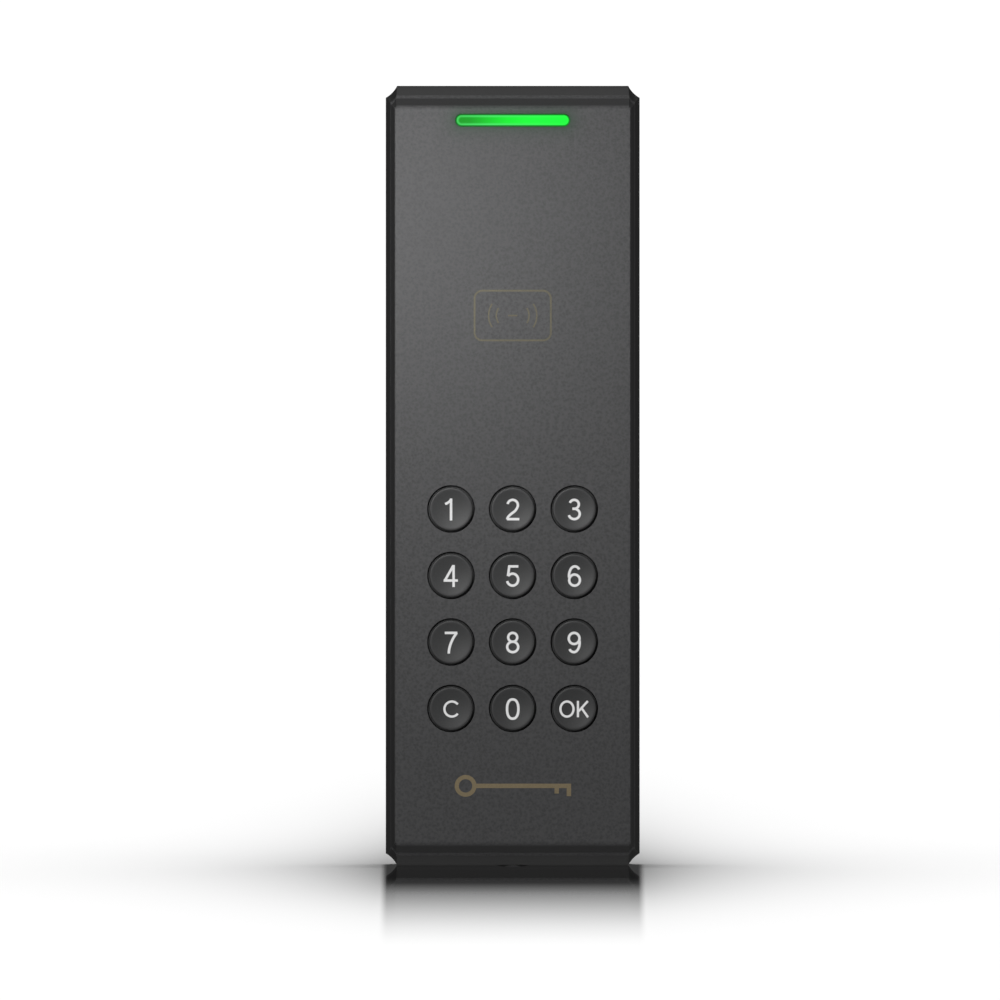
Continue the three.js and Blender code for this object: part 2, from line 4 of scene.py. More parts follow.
import bmesh
import bpy
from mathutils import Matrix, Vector


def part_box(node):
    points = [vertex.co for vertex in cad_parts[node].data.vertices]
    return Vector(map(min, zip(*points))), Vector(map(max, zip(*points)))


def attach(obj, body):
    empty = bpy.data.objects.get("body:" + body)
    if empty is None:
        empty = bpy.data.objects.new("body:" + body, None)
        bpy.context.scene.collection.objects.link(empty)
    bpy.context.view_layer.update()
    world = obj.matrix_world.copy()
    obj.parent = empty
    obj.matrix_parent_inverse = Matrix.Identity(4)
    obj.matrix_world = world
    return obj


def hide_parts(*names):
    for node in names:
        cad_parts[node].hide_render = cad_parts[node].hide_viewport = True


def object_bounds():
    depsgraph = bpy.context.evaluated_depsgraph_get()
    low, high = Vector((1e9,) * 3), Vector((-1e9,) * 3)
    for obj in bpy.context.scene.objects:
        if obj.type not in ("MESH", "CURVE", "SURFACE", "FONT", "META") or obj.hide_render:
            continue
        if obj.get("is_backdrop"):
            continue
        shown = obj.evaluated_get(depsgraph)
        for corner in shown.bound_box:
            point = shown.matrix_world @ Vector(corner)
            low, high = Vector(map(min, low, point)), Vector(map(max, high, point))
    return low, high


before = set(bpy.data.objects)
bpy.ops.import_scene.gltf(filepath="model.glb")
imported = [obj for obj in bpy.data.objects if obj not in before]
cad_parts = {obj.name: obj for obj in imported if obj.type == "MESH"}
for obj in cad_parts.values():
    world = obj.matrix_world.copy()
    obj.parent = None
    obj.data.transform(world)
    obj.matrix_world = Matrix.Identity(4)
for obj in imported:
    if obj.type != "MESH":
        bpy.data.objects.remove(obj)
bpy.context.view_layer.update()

MM = 0.001
KEYS = ("1", "2", "3", "4", "5", "6", "7", "8", "9", "c", "0", "ok")


class Extent:
    """A CAD node's low and high corners, centre and half sizes, in millimetres."""

    def __init__(self, node):
        low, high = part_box(node)
        self.low, self.high = low / MM, high / MM
        self.centre, self.half = (low + high) / 2 / MM, (high - low) / 2 / MM


def middle(node):
    """The X and Z of a CAD node's centre, in millimetres."""
    centre = Extent(node).centre
    return centre.x, centre.z


# -------- shader maths

def maths(operation, swapped=False):
    """A method of Wire that adds one maths node, with the wire as its last value if swapped."""
    def method(wire, *others):
        values = (*others, wire) if swapped else (wire, *others)
        return wire.finish.node("ShaderNodeMath", {"operation": operation},
                                dict(enumerate(values)))
    return method


class Wire:
    """An output socket on which sums are written as ordinary expressions."""

    def __init__(self, finish, socket):
        self.finish = finish
        self.socket = socket

    __add__ = __radd__ = maths("ADD")
    __sub__ = maths("SUBTRACT")
    __rsub__ = maths("SUBTRACT", swapped=True)
    __mul__ = __rmul__ = maths("MULTIPLY")
    __pow__ = maths("POWER")
    __abs__ = maths("ABSOLUTE")
    power_of = maths("POWER", swapped=True)
    most = maths("MAXIMUM")
    least = maths("MINIMUM")

    def between(self, low, high):
        """0 below low, 1 above high, and a smooth step between them."""
        ends = {"Value": self, "From Min": low, "From Max": high}
        return self.finish.node("ShaderNodeMapRange", {"interpolation_type": "SMOOTHSTEP"}, ends)


class Finish:
    """A material on one Principled shader; what varies over the surface is fed by wires."""

    def __init__(self, name, **constants):
        self.material = bpy.data.materials.new(name)
        self.material.use_nodes = True
        self.tree = self.material.node_tree
        self.shader = self.tree.nodes["Principled BSDF"]
        for socket, value in constants.items():
            self.feed(self.shader.inputs[socket.replace("_", " ")], value)

    def feed(self, socket, value):
        if isinstance(value, Wire):
            self.tree.links.new(value.socket, socket)
        elif socket.type == "RGBA":
            socket.default_value = (*value[:3], 1)
        else:
            socket.default_value = value

    def node(self, kind, settings=(), sockets=(), output=0):
        """A node: its settings first, then its sockets set or linked. Gives one output."""
        made = self.tree.nodes.new(kind)
        for name, value in dict(settings).items():
            if name == "stops":
                self._stops(made.color_ramp, value)
            else:
                setattr(made, name, value)
        for name, value in dict(sockets).items():
            self.feed(made.inputs[name], value)
        return Wire(self, made.outputs[output])

    @staticmethod
    def _stops(ramp, stops):
        for index, (place, colour) in enumerate(stops):
            stop = ramp.elements[index] if index < 2 else ramp.elements.new(place)
            stop.position = place
            stop.color = (*colour, 1)

    def place(self):
        return self.node("ShaderNodeTexCoord", output="Object")

    def axes(self):
        """The place's X, Y and Z, in millimetres."""
        split = self.node("ShaderNodeSeparateXYZ", sockets={0: self.place()})
        outputs = split.socket.node.outputs
        return [Wire(self, outputs[axis]) * (1 / MM) for axis in "XYZ"]

    def noise(self, grain_mm, detail=2.0, roughness=0.5, stretch=(1, 1, 1)):
        """Smooth noise from 0 to 1 whose grains are about grain_mm across."""
        scaled = self.node("ShaderNodeVectorMath", {"operation": "MULTIPLY"},
                           {0: self.place(), 1: stretch})
        sockets = {"Vector": scaled, "Scale": 1 / (grain_mm * MM), "Detail": detail,
                   "Roughness": roughness}
        return self.node("ShaderNodeTexNoise", {}, sockets)

    def cells(self, grain_mm):
        """Distance to the nearest of many scattered points about grain_mm apart."""
        sockets = {"Vector": self.place(), "Scale": 1 / (grain_mm * MM)}
        return self.node("ShaderNodeTexVoronoi", {}, sockets)

    def mix(self, share, first, second):
        return self.node("ShaderNodeMix", {"data_type": "RGBA"}, {0: share, 6: first, 7: second},
                         output=2)

    def ramp(self, value, stops):
        return self.node("ShaderNodeValToRGB", {"stops": stops}, {0: value})

    def bump(self, height, depth_mm, strength=1.0):
        """Raises the surface by up to depth_mm where height is 1."""
        sockets = {"Height": height, "Distance": depth_mm * MM, "Strength": strength}
        self.feed(self.shader.inputs["Normal"], self.node("ShaderNodeBump", {}, sockets))

    def set(self, socket, value):
        self.feed(self.shader.inputs[socket], value)


def grey(tone, warmth=0.0):
    return (tone * (1 + warmth), tone, tone * (1 - warmth))


# -------- finishes

def light_reach(x, z):
    """How far a place is from the light bar's middle line, in millimetres."""
    aside = (abs(x) - (LIGHT_HALF_X - LIGHT_HALF_Z)).most(0)
    above = z - LIGHT_Z
    return (aside * aside + above * above) ** 0.5


def sand_coating():
    """Dark grey paint with a fine sandy grain, with the light bar's glow painted into it close
    round the bar and painted shade on its side bevels.
    """
    finish = Finish("sand_coating", Specular_IOR_Level=0.42, Emission_Strength=1.0)
    fine = finish.noise(0.34, roughness=0.6)
    sand = finish.cells(0.62)
    coarse = finish.noise(0.8)
    grain = fine * 0.4 + coarse * 0.35 + sand * 0.25
    x, y, z = finish.axes()
    reach = light_reach(x, z) - LIGHT_HALF_Z
    # painted glow: the light bar's green light painted into the coating's colour, fading away from
    # the bar
    painted_glow = (reach * (-1 / LIGHT_SPILL)).power_of(math.e).least(1) * 0.9
    tone = grain.between(0.34, 0.62)
    base = finish.mix(tone, (0.061, 0.061, 0.0624), (0.090, 0.090, 0.0921))
    base = finish.mix(painted_glow, base, (0.018, 0.058, 0.028))
    # painted shade: the coating's side bevels, from just behind the face to the lip, are darkened
    # in colour
    behind_face = y - FACE_Y
    sides = behind_face.between(0.25, 1.4) * (1 - (y - LIP_Y).between(0, 0.6))
    finish.set("Base Color", finish.mix(sides * 0.6, base, grey(0.004)))
    finish.set("Roughness", 0.48 + grain * 0.26)
    # painted glow: a faint green emission from the coating right at the bar's edge
    near = 1 - reach.between(0, 0.5)
    finish.set("Emission Color", finish.mix(near * 0.03, (0, 0, 0), (0.02, 1.0, 0.06)))
    lumps = finish.noise(0.9, detail=1).between(0.3, 0.7) * (y - LIP_Y).between(-0.6, 0.1)
    finish.bump(grain + lumps * 1.1, 0.055)
    return finish.material


def shell_plastic():
    """Near-black satin moulded plastic."""
    finish = Finish("shell_plastic", Specular_IOR_Level=0.5)
    fine = finish.noise(0.09)
    wave = finish.noise(14.0, detail=1)
    finish.set("Base Color", finish.mix(wave, grey(0.016), grey(0.021)))
    finish.set("Roughness", 0.34 + fine * 0.12)
    finish.bump(fine, 0.004)
    return finish.material


def legend_ink():
    """Light legend ink with a soft painted glow, so it stays evenly bright."""
    finish = Finish("legend_ink", Roughness=0.5, Emission_Strength=1.0)
    speck = finish.noise(0.12, detail=1)
    finish.set("Base Color", finish.mix(speck, grey(0.34), grey(0.40)))
    # painted glow: emission that keeps the legends evenly bright
    finish.set("Emission Color", finish.mix(speck, grey(0.42), grey(0.46)))
    finish.bump(speck, 0.004)
    return finish.material


def gold_ink(name, light, dark):
    """Matt metallic printing ink."""
    return grained(name, light, dark, 0.45, 0.14, 0.2, 0.012, clear=True, Metallic=0.25)


def lit_lens():
    """Green light bar: dim inside its left end, brighter along its rim, with a painted shadow of
    the slot at its very edge.
    """
    finish = Finish("lit_lens", Roughness=0.45, Emission_Strength=1.0,
                    Base_Color=(0.002, 0.05, 0.004), Specular_IOR_Level=0.05)
    x, _, z = finish.axes()
    along = (x + LIGHT_HALF_X) * (1 / (2 * LIGHT_HALF_X))
    core = finish.ramp(along, [(0.0, (0.010, 0.29, 0.016)), (0.12, (0.009, 0.33, 0.018)),
                               (0.45, (0.009, 0.84, 0.034)), (0.7, (0.013, 1.0, 0.05))])
    edge = finish.ramp(along, [(0.0, (0.06, 0.60, 0.11)), (0.3, (0.07, 0.78, 0.14)),
                               (1.0, (0.02, 1.0, 0.06))])
    outward = light_reach(x, z) * (1 / LIGHT_HALF_Z)
    lit = finish.mix(outward.between(0.40, 0.80), core, edge)
    # painted shadow: the slot's edge shading the lens, darkening its very edge
    outline = outward.between(0.86, 0.98) * 0.8
    finish.set("Emission Color", finish.mix(outline, lit, (0.006, 0.14, 0.012)))
    finish.bump(finish.noise(0.8, detail=1), 0.01)
    return finish.material


def zinc_sheet():
    """Rolled, zinc plated sheet with faint rolling lines and clouding."""
    finish = Finish("zinc_sheet", Metallic=1.0)
    rolled = finish.noise(0.35, detail=3, stretch=(1, 1, 0.04))
    cloud = finish.noise(6.0, detail=3)
    finish.set("Base Color", finish.mix(cloud, (0.50, 0.51, 0.52), (0.64, 0.645, 0.65)))
    finish.set("Roughness", 0.30 + rolled * 0.16 + cloud * 0.1)
    finish.bump(rolled, 0.006)
    return finish.material


def solder_mask():
    """Green board lacquer over copper tracks and vias."""
    finish = Finish("solder_mask", Coat_Weight=0.35, Coat_Roughness=0.15)
    x, _, _ = finish.axes()
    lanes = finish.node("ShaderNodeMath", {"operation": "PINGPONG"}, {0: x, 1: 1.1})
    wander = finish.noise(7.0, detail=0)
    track = (lanes + wander * 0.6).between(0.62, 0.72)
    vias = 1 - finish.cells(2.6).between(0.10, 0.14)
    copper = (track * 0.6).most(vias)
    weave = finish.noise(0.4, detail=1)
    mask = finish.mix(weave, (0.006, 0.060, 0.022), (0.010, 0.085, 0.030))
    under = finish.mix(track * 0.7, mask, (0.020, 0.150, 0.055))
    finish.set("Base Color", finish.mix(vias, under, (0.50, 0.40, 0.22)))
    finish.set("Roughness", 0.38 + weave * 0.1 - vias * 0.1)
    finish.bump(copper, 0.03)
    return finish.material


def grained(name, light, dark, roughness, grain_mm=0.12, spread=0.14, depth_mm=0.006,
            detail=2, clear=False, **constants):
    """Two close tones in a fine grain, set apart from each other if it is clear."""
    finish = Finish(name, **constants)
    fine = finish.noise(grain_mm, detail)
    tone = fine.between(0.3, 0.7) if clear else fine
    finish.set("Base Color", finish.mix(tone, dark, light))
    finish.set("Roughness", roughness + fine * spread)
    finish.bump(fine, depth_mm)
    return finish.material


def floor_white():
    """White studio floor, dull all round and polished in a strip before the reader, with a painted
    shadow round the reader's foot that is darkest in the strip close before it.
    """
    finish = Finish("floor_white", Specular_IOR_Level=0.0, Roughness=1.0)
    x, y, _ = finish.axes()
    ahead = (y * -1) - FOOT_FRONT
    # painted shadow: the floor's colour is darkened round the reader's foot, fading sideways and
    # lengthwise
    behind = (y + SHADE_FRONT).most(0)
    before = (y + SHADE_FRONT).least(0) * (-1 / 160)
    aside = (abs(x) - FOOT_HALF_X).most(0)
    lengthwise = (behind * (-1 / 250) - before * before).power_of(math.e)
    dim = (aside * (-1 / 20)).power_of(math.e) * lengthwise
    tone = finish.mix(dim * 0.62, grey(0.9), grey(0))
    finish.set("Base Color", tone)
    # painted shadow: the polished strip's colour goes black close before the foot and fades back
    # further out
    polish = finish.node("ShaderNodeBsdfPrincipled", {}, {
        "Base Color": finish.mix(1 - ahead.between(40, 130), tone, grey(0)),
        "Roughness": 0.015, "IOR": 1.5})
    widening = ahead * 0.0118
    beside = 1 - (abs(x) + widening).between(FOOT_HALF_X - 0.6, FOOT_HALF_X + 1)
    fade = finish.ramp(ahead * (1 / POLISH_LENGTH), [
        (0.0, grey(1)), (0.22, grey(1)), (0.31, grey(0.88)), (0.43, grey(0.70)),
        (0.62, grey(0.42)), (0.78, grey(0.20)), (0.92, grey(0.05)), (1.0, grey(0))])
    share = beside * fade * (ahead + 22).between(-2, 4)
    mixed = finish.node("ShaderNodeMixShader", {}, {
        0: share, 1: Wire(finish, finish.shader.outputs[0]), 2: polish})
    output = finish.tree.nodes["Material Output"]
    finish.tree.links.new(mixed.socket, output.inputs["Surface"])
    return finish.material


# -------- shapes

CORNERS = tuple(enumerate(((1, 1), (-1, 1), (-1, -1), (1, -1))))  # The signs of X and Z.


def outline_scooped(half_x, half_z, across, up, scoop, steps=8):
    """A rectangle whose corners are cut off along a shallow hollow curve, as (x, z) points."""
    points = []
    for corner, (side_x, side_z) in CORNERS:
        for step in range(steps + 1):
            along = step / steps
            turn = 1 - along if corner % 2 else along
            inward = scoop * 4 * turn * (1 - turn)
            points.append((side_x * (half_x - across * turn - inward),
                           side_z * (half_z - up * (1 - turn) - inward)))
    return points


def outline_round(half_x, half_z, radius, steps=8, centre_x=0.0, centre_z=0.0):
    """A rectangle with round corners, as (x, z) points."""
    points = []
    for corner, (side_x, side_z) in CORNERS:
        for step in range(steps + 1):
            angle = (corner + step / steps) * math.pi / 2
            points.append((centre_x + side_x * (half_x - radius) + radius * math.cos(angle),
                           centre_z + side_z * (half_z - radius) + radius * math.sin(angle)))
    return points


def level(outline, y):
    return [Vector((x, y, z)) * MM for x, z in outline]


def lofted(rings, hollow=False):
    """A solid through rings of as many points: capped at both ends, or closed into a loop."""
    solid = bmesh.new()
    loops = [[solid.verts.new(point) for point in ring] for ring in rings]
    for near, far in zip(loops, loops[1:] + (loops[:1] if hollow else [])):
        for i in range(len(near)):
            j = (i + 1) % len(near)
            solid.faces.new((near[i], near[j], far[j], far[i]))
    if not hollow:
        solid.faces.new(loops[0])
        solid.faces.new(loops[-1])
    bmesh.ops.recalc_face_normals(solid, faces=solid.faces)
    return solid


def slab(outline, back, front):
    return lofted([level(outline, back), level(outline, front)])


def rounded_bend(before, corner, after, reach, steps=4):
    """Points, of any number of values, that turn a corner smoothly from reach before it."""
    def toward(target):
        gap = [t - c for t, c in zip(target, corner)]
        length = math.sqrt(sum(g * g for g in gap))
        share = min(reach / length, 0.49)
        return [c + g * share for c, g in zip(corner, gap)]
    start, end = toward(before), toward(after)
    bend = []
    for step in range(steps + 1):
        t = step / steps
        bend.append([s * (1 - t) ** 2 + c * 2 * t * (1 - t) + e * t * t
                     for s, c, e in zip(start, corner, end)])
    return bend


def filleted(profile, reaches, steps=4):
    """A profile with each corner rounded by its own reach; 0 keeps it sharp."""
    smooth = []
    for i, (point, reach) in enumerate(zip(profile, reaches)):
        if reach and 0 < i < len(profile) - 1:
            smooth += rounded_bend(profile[i - 1], point, profile[i + 1], reach, steps)
        else:
            smooth.append(list(point))
    return smooth


def circle(radius, place, centre, steps, axis="Y"):
    """Points round an axis along the depth (Y) or the height (Z); one point if on the axis."""
    points = []
    for step in range(steps if radius > 0 else 1):
        angle = 2 * math.pi * step / steps
        across = centre[0] + radius * math.cos(angle)
        up = centre[1] + radius * math.sin(angle)
        points.append(Vector((across, place, up) if axis == "Y" else (across, up, place)) * MM)
    return points


def turned(profile, centre=(0, 0), steps=64, axis="Y"):
    """A solid of revolution from (radius, place) points that start and end on the axis."""
    solid = bmesh.new()
    rings = [[solid.verts.new(point) for point in circle(radius, place, centre, steps, axis)]
             for radius, place in profile]
    for near, far in zip(rings, rings[1:]):
        for i in range(steps):
            j = (i + 1) % steps
            corners = (near[i % len(near)], near[j % len(near)],
                       far[j % len(far)], far[i % len(far)])
            unique = list(dict.fromkeys(corners))
            if len(unique) > 2:
                solid.faces.new(unique)
    bmesh.ops.recalc_face_normals(solid, faces=solid.faces)
    return solid


def rod(radius, back, front, centre, steps=48):
    return turned([(0, back), (radius, back), (radius, front), (0, front)], centre, steps)


def brick(low, high):
    """A plain box cutter between two corners, in millimetres."""
    outline = [(low[0], low[2]), (high[0], low[2]), (high[0], high[2]), (low[0], high[2])]
    return slab(outline, high[1], low[1])


# -------- pieces

def put(name, solid):
    """A Blender object from a bmesh."""
    mesh = bpy.data.meshes.new(name)
    solid.to_mesh(mesh)
    solid.free()
    made = bpy.data.objects.new(name, mesh)
    bpy.context.scene.collection.objects.link(made)
    return made


def settle(piece):
    """Applies a piece's modifiers."""
    bpy.context.view_layer.update()
    evaluated = piece.evaluated_get(bpy.context.evaluated_depsgraph_get())
    mesh = bpy.data.meshes.new_from_object(evaluated)
    piece.modifiers.clear()
    piece.data = mesh


def merged(solids):
    """One bmesh that holds several separate solids."""
    whole = bmesh.new()
    for solid in solids:
        part = bpy.data.meshes.new("part")
        solid.to_mesh(part)
        solid.free()
        whole.from_mesh(part)
        bpy.data.meshes.remove(part)
    return whole


def combine(piece, solids, operation):
    """Cuts separate solids from a piece, or joins them to it."""
    tool = put("tool", merged(solids))
    step = piece.modifiers.new("combine", "BOOLEAN")
    step.operation = operation
    step.solver = "EXACT"
    step.use_self = True
    step.object = tool
    settle(piece)
    bpy.data.objects.remove(tool)
    return piece


def carve(piece, *solids):
    return combine(piece, solids, "DIFFERENCE")


def weld(piece, *solids):
    return combine(piece, solids, "UNION")


def soften(piece, width_mm, segments=3, angle=35):
    """Rounds a piece's sharp edges a little."""
    bevel = piece.modifiers.new("soften", "BEVEL")
    bevel.width = width_mm * MM
    bevel.segments = segments
    bevel.limit_method = "ANGLE"
    bevel.angle_limit = math.radians(angle)
    settle(piece)
    return piece


def finished(piece, material, nodes=(), body="reader", sharp=34):
    """Smooth shading, finish, body and what the piece stands for."""
    mesh = piece.data
    mesh.materials.clear()
    mesh.materials.append(material)
    mesh.shade_smooth()
    mesh.set_sharp_from_angle(angle=math.radians(sharp))
    even = piece.modifiers.new("even", "WEIGHTED_NORMAL")
    even.keep_sharp = True
    settle(piece)
    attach(piece, body)
    if nodes:
        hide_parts(*nodes)
    return piece


# -------- measures

LIGHT_HALF_X = 11.0
LIGHT_HALF_Z = 1.03
LIGHT_Z = Extent("light_guide").centre.z
LIGHT_SPILL = 1.16  # How far the bar's light, painted into the coating, reaches before it has faded.

FACE_Y = Extent("front_cover").low.y
LIP_Y = -16.6
RIDGE_Y = -15.0
SHOULDER_Y = -9.5
SEAM_GAP = 0.08  # Each shell stops this far short of the ridge where the two meet.
COVER_BACK_Y = -22.0
FLOOR_FRONT_Y = -4.5
FLOOR_BACK_Y = -3.0
RIDGE = (24.0, 74.6)  # Half width and half height of an outline.
FACE = (23.04, 72.15)
BODY = (25.0, 76.75)
FACE_CUT = (0.3, 0.35, 0.03)  # A corner's cut across and up, and how deep its curve is.
RIDGE_CUT = (1.2, 1.4, 0.14)
BODY_CUT = (2.25, 2.35, 0.17)

COVER_SCREWS = [middle(f"cover_screw_{number}") for number in (1, 2, 3, 4)]
BOARD_SCREWS = [middle(f"board_screw_{number}") for number in (1, 2)]
COVER_BOSS = 2.6
COVER_SCREW_HOLE = 1.5
COVER_SCREW_SEAT = 3.1
HOUSING_BOSS = 4.4
BOARD_POST = 2.9
BOARD_SCREW_HOLE = 1.4
PLUNGER_HOLE = 1.55

KEY_HOLE_RADIUS = 4.62
KEY_RADIUS = 4.22
KEY_FOOT = 4.46
KEY_FLANGE = 5.4
KEY_RIM = 0.42
DISH_DEPTH = 0.40
KEY_RIM_Y = Extent("key_5").low.y
KEY_STEP_Y = KEY_RIM_Y + 0.9
KEY_FLANGE_Y = (-21.7, -20.9)

FOOT_FRONT = 24  # The floor's painted shadow and polished strip: how far before the wall they start, and how wide.
FOOT_HALF_X = 25
SHADE_FRONT = 28
POLISH_LENGTH = 330

coating = sand_coating()
shell = shell_plastic()
caps = grained("key_plastic", grey(0.062, -0.01), grey(0.048, -0.01), 0.40, 0.11,
               depth_mm=0.008, clear=True)
ink = legend_ink()
zinc = zinc_sheet()
rubber = grained("silicone_rubber", grey(0.0275), grey(0.0176), 0.62, 0.2, 0.2, 0.01, 3)
steel = grained("plated_steel", (0.58, 0.585, 0.60), (0.44, 0.45, 0.46), 0.24, spread=0.16,
                Metallic=1.0)
copper = grained("copper_wire", (0.58, 0.24, 0.10), (0.40, 0.14, 0.05), 0.25, 0.1, 0.15,
                 Metallic=0.9, Coat_Weight=0.5)
chip_black = grained("chip_black", grey(0.020), grey(0.012), 0.42)
tin = grained("tinned_pins", (0.62, 0.62, 0.60), (0.50, 0.50, 0.48), 0.25, Metallic=1.0)
ceramic = grained("ceramic_bodies", (0.20, 0.14, 0.09), (0.13, 0.09, 0.06), 0.4)
terminal_green = grained("terminal_green", (0.04, 0.24, 0.10), (0.03, 0.18, 0.07), 0.4)
aluminium = grained("bright_aluminium", (0.70, 0.71, 0.73), (0.58, 0.59, 0.61), 0.22,
                    Metallic=1.0)
plunger_white = grained("plunger_white", (0.72, 0.72, 0.69), (0.62, 0.62, 0.59), 0.35)
led_white = grained("led_white", (0.80, 0.80, 0.78), (0.70, 0.70, 0.68), 0.35)
led_lens = grained("led_lens", (0.70, 0.72, 0.30), (0.60, 0.62, 0.22), 0.15)


# -------- front cover

def scooped_levels(profile, reaches):
    """Rings for (y, half x, half z, cut across, cut up, scoop) levels with rounded bends."""
    return [level(outline_scooped(*row[1:]), row[0]) for row in filleted(profile, reaches)]


def lip_flare(lip):
    """How far a rounded edge stands out, and how deep it is, at steps from mouth to wall."""
    turns = [math.pi / 2 * step / 5 for step in range(6)]
    return [(lip * (1 - math.sin(turn)), lip * (1 - math.cos(turn))) for turn in turns]


def lipped_hole(radius, centre, lip=0.12, steps=72):
    """A cutter whose mouth at the face flares out to a rounded edge."""
    flare = [(radius + out, FACE_Y + deep) for out, deep in lip_flare(lip)]
    profile = [(0, FACE_Y - 1), (radius + lip, FACE_Y - 1), *flare,
               (radius, COVER_BACK_Y + 1), (0, COVER_BACK_Y + 1)]
    return turned(profile, centre, steps)


def light_outline(grow):
    half_x, half_z = LIGHT_HALF_X + grow, LIGHT_HALF_Z + grow
    return outline_round(half_x, half_z, half_z * 0.999, steps=10, centre_z=LIGHT_Z)


def lipped_slot(grow=0.16, lip=0.2):
    rings = [level(light_outline(grow + lip), FACE_Y - 1)]
    rings += [level(light_outline(grow + out), FACE_Y + deep) for out, deep in lip_flare(lip)]
    rings.append(level(light_outline(grow), COVER_BACK_Y + 1))
    return lofted(rings)


def front_cover():
    rim = RIDGE_Y - SEAM_GAP
    tongue = (22.2, 72.5, 0.6, 0.6, 0.0)
    profile = [
        (-13.2, *tongue),
        (rim, *tongue),
        (rim, *RIDGE, *RIDGE_CUT),
        (rim - 0.45, *RIDGE, *RIDGE_CUT),
        (rim - 0.95, 23.86, 73.95, 1.0, 1.2, 0.12),
        (FACE_Y, *FACE, *FACE_CUT),
        (FACE_Y, 19, 60, 0.1, 0.1, 0.0),
    ]
    rings = scooped_levels(profile, (0, 0, 0.15, 0.35, 0.2, 0.7, 0))
    cover = put("front_cover_shell", lofted(rings))
    carve(cover, slab(outline_round(21.4, 71.1, 0.8), -12, COVER_BACK_Y))
    carve(cover, lipped_slot(), *[lipped_hole(KEY_HOLE_RADIUS, middle(f"key_{k}")) for k in KEYS])
    weld(cover, *[rod(COVER_BOSS, -9, COVER_BACK_Y - 0.5, c) for c in COVER_SCREWS])
    carve(cover, *[rod(COVER_SCREW_HOLE, -8, COVER_BACK_Y + 1, c) for c in COVER_SCREWS])
    return finished(cover, coating, ("front_cover",))


# -------- rear housing

def rear_housing():
    ridge_front = RIDGE_Y + SEAM_GAP
    profile = [
        (-0.3, 24.2, 76.0, 2.0, 2.3, 0.24),
        (-0.3, *BODY, *BODY_CUT),
        (SHOULDER_Y, *BODY, *BODY_CUT),
        (ridge_front, *RIDGE, *RIDGE_CUT),
        (ridge_front, 22.9, 73.2, 0.9, 1.0, 0.1),
    ]
    rings = scooped_levels(profile, (0, 0.3, 2.4, 0.3, 0))
    housing = put("rear_housing_shell", lofted(rings))
    hollows = (  # Half width, half height, corner radius, back and front of each hollow.
        (22.6, 72.9, 1.2, -11.9, -16), (21.4, 71.4, 1.0, -9, -12.5),
        (23, 74.2, 2.0, FLOOR_FRONT_Y, -10.4), (23.2, 74.9, 2.0, 1, FLOOR_BACK_Y))
    for *outline, back, front in hollows:
        carve(housing, slab(outline_round(*outline), back, front))
    weld(housing, *[rod(HOUSING_BOSS, -3.6, -8.7, c) for c in COVER_SCREWS],
         *[rod(BOARD_POST, -3.6, -16.1, c) for c in BOARD_SCREWS],
         brick((-5.5, -10.6, -75.5), (5.5, -3.6, -72.3)))
    carve(housing, *[rod(COVER_SCREW_HOLE, -2, -9.7, c) for c in COVER_SCREWS],
          *[rod(BOARD_SCREW_HOLE, -5.5, -17.4, c) for c in BOARD_SCREWS],
          *floor_openings(), security_bore())
    carve(housing, *[rod(COVER_SCREW_SEAT, -2, -5.6, c) for c in COVER_SCREWS])
    return finished(housing, shell, ("rear_housing",))


def floor_openings():
    """Holes for the grommet and the plunger, and slots for the wall plate's hooks and tab."""
    back, front = -2, -5.5
    slots = ((-10.8, -3.2, 64.2, 68.3), (3.2, 10.8, 64.2, 68.3), (-5.8, 5.8, -72.5, -69.6))
    return [rod(8, back, front, middle("cable_grommet"), 72),
            *[brick((x_low, front, z_low), (x_high, back, z_high))
              for x_low, x_high, z_low, z_high in slots],
            rod(PLUNGER_HOLE, back, front, middle("tamper_plunger"))]


def screw_bore(profile, steps):
    """A cutter along the security screw's axis, from (radius, height) points."""
    centre = Extent("security_screw").centre
    return turned(profile, (centre.x, centre.y), steps, axis="Z")


def security_bore():
    return screw_bore([(0, -78), (3.5, -78), (3.5, -76.7), (3.1, -76.3), (3.1, -74.5),
                       (1.7, -74.5), (1.7, -71), (0, -71)], 64)


# -------- keys and legends

def dish(radius):
    """Depth of the key's hollow at a radius, as a Y place."""
    edge = KEY_RADIUS - KEY_RIM
    return KEY_RIM_Y + DISH_DEPTH * max(0.0, 1 - (radius / edge) ** 2)


def key_cap(key):
    edge = KEY_RADIUS - KEY_RIM
    rings = 14
    face = [(edge * i / rings, dish(edge * i / rings)) for i in range(rings + 1)]
    flange_front, flange_back = KEY_FLANGE_Y
    outside = filleted([
        (edge, KEY_RIM_Y), (KEY_RADIUS, KEY_RIM_Y), (KEY_RADIUS, KEY_STEP_Y),
        (KEY_FOOT, KEY_STEP_Y), (KEY_FOOT, flange_front), (KEY_FLANGE, flange_front),
        (KEY_FLANGE, flange_back), (0, flange_back)],
        (0, 0.42, 0.08, 0.08, 0.08, 0.15, 0.15, 0))
    piece = put(f"key_cap_{key}", turned(face + outside[1:], middle(f"key_{key}"), 96))
    return finished(piece, caps, (f"key_{key}",), f"key_{key}", sharp=50)


def arc(cx, cz, rx, rz, start, end, steps=22, square=2.0):
    """Points on an oval arc, from a start to an end angle in degrees."""
    points = []
    for i in range(steps + 1):
        a = math.radians(start + (end - start) * i / steps)
        c, s = math.cos(a), math.sin(a)
        points.append((cx + rx * math.copysign(abs(c) ** (2 / square), c),
                       cz + rz * math.copysign(abs(s) ** (2 / square), s)))
    return points


def curve(points, steps=6):
    """A smooth line through a few points."""
    ends = [points[0], *points, points[-1]]
    smooth = []
    for a, b, c, d in zip(ends, ends[1:], ends[2:], ends[3:]):
        for step in range(steps):
            t = step / steps
            smooth.append(tuple(
                0.5 * (2 * q + (r - p) * t + (2 * p - 5 * q + 4 * r - s) * t * t
                       + (3 * q - p - 3 * r + s) * t ** 3)
                for p, q, r, s in zip(a, b, c, d)))
    return smooth + [points[-1]]


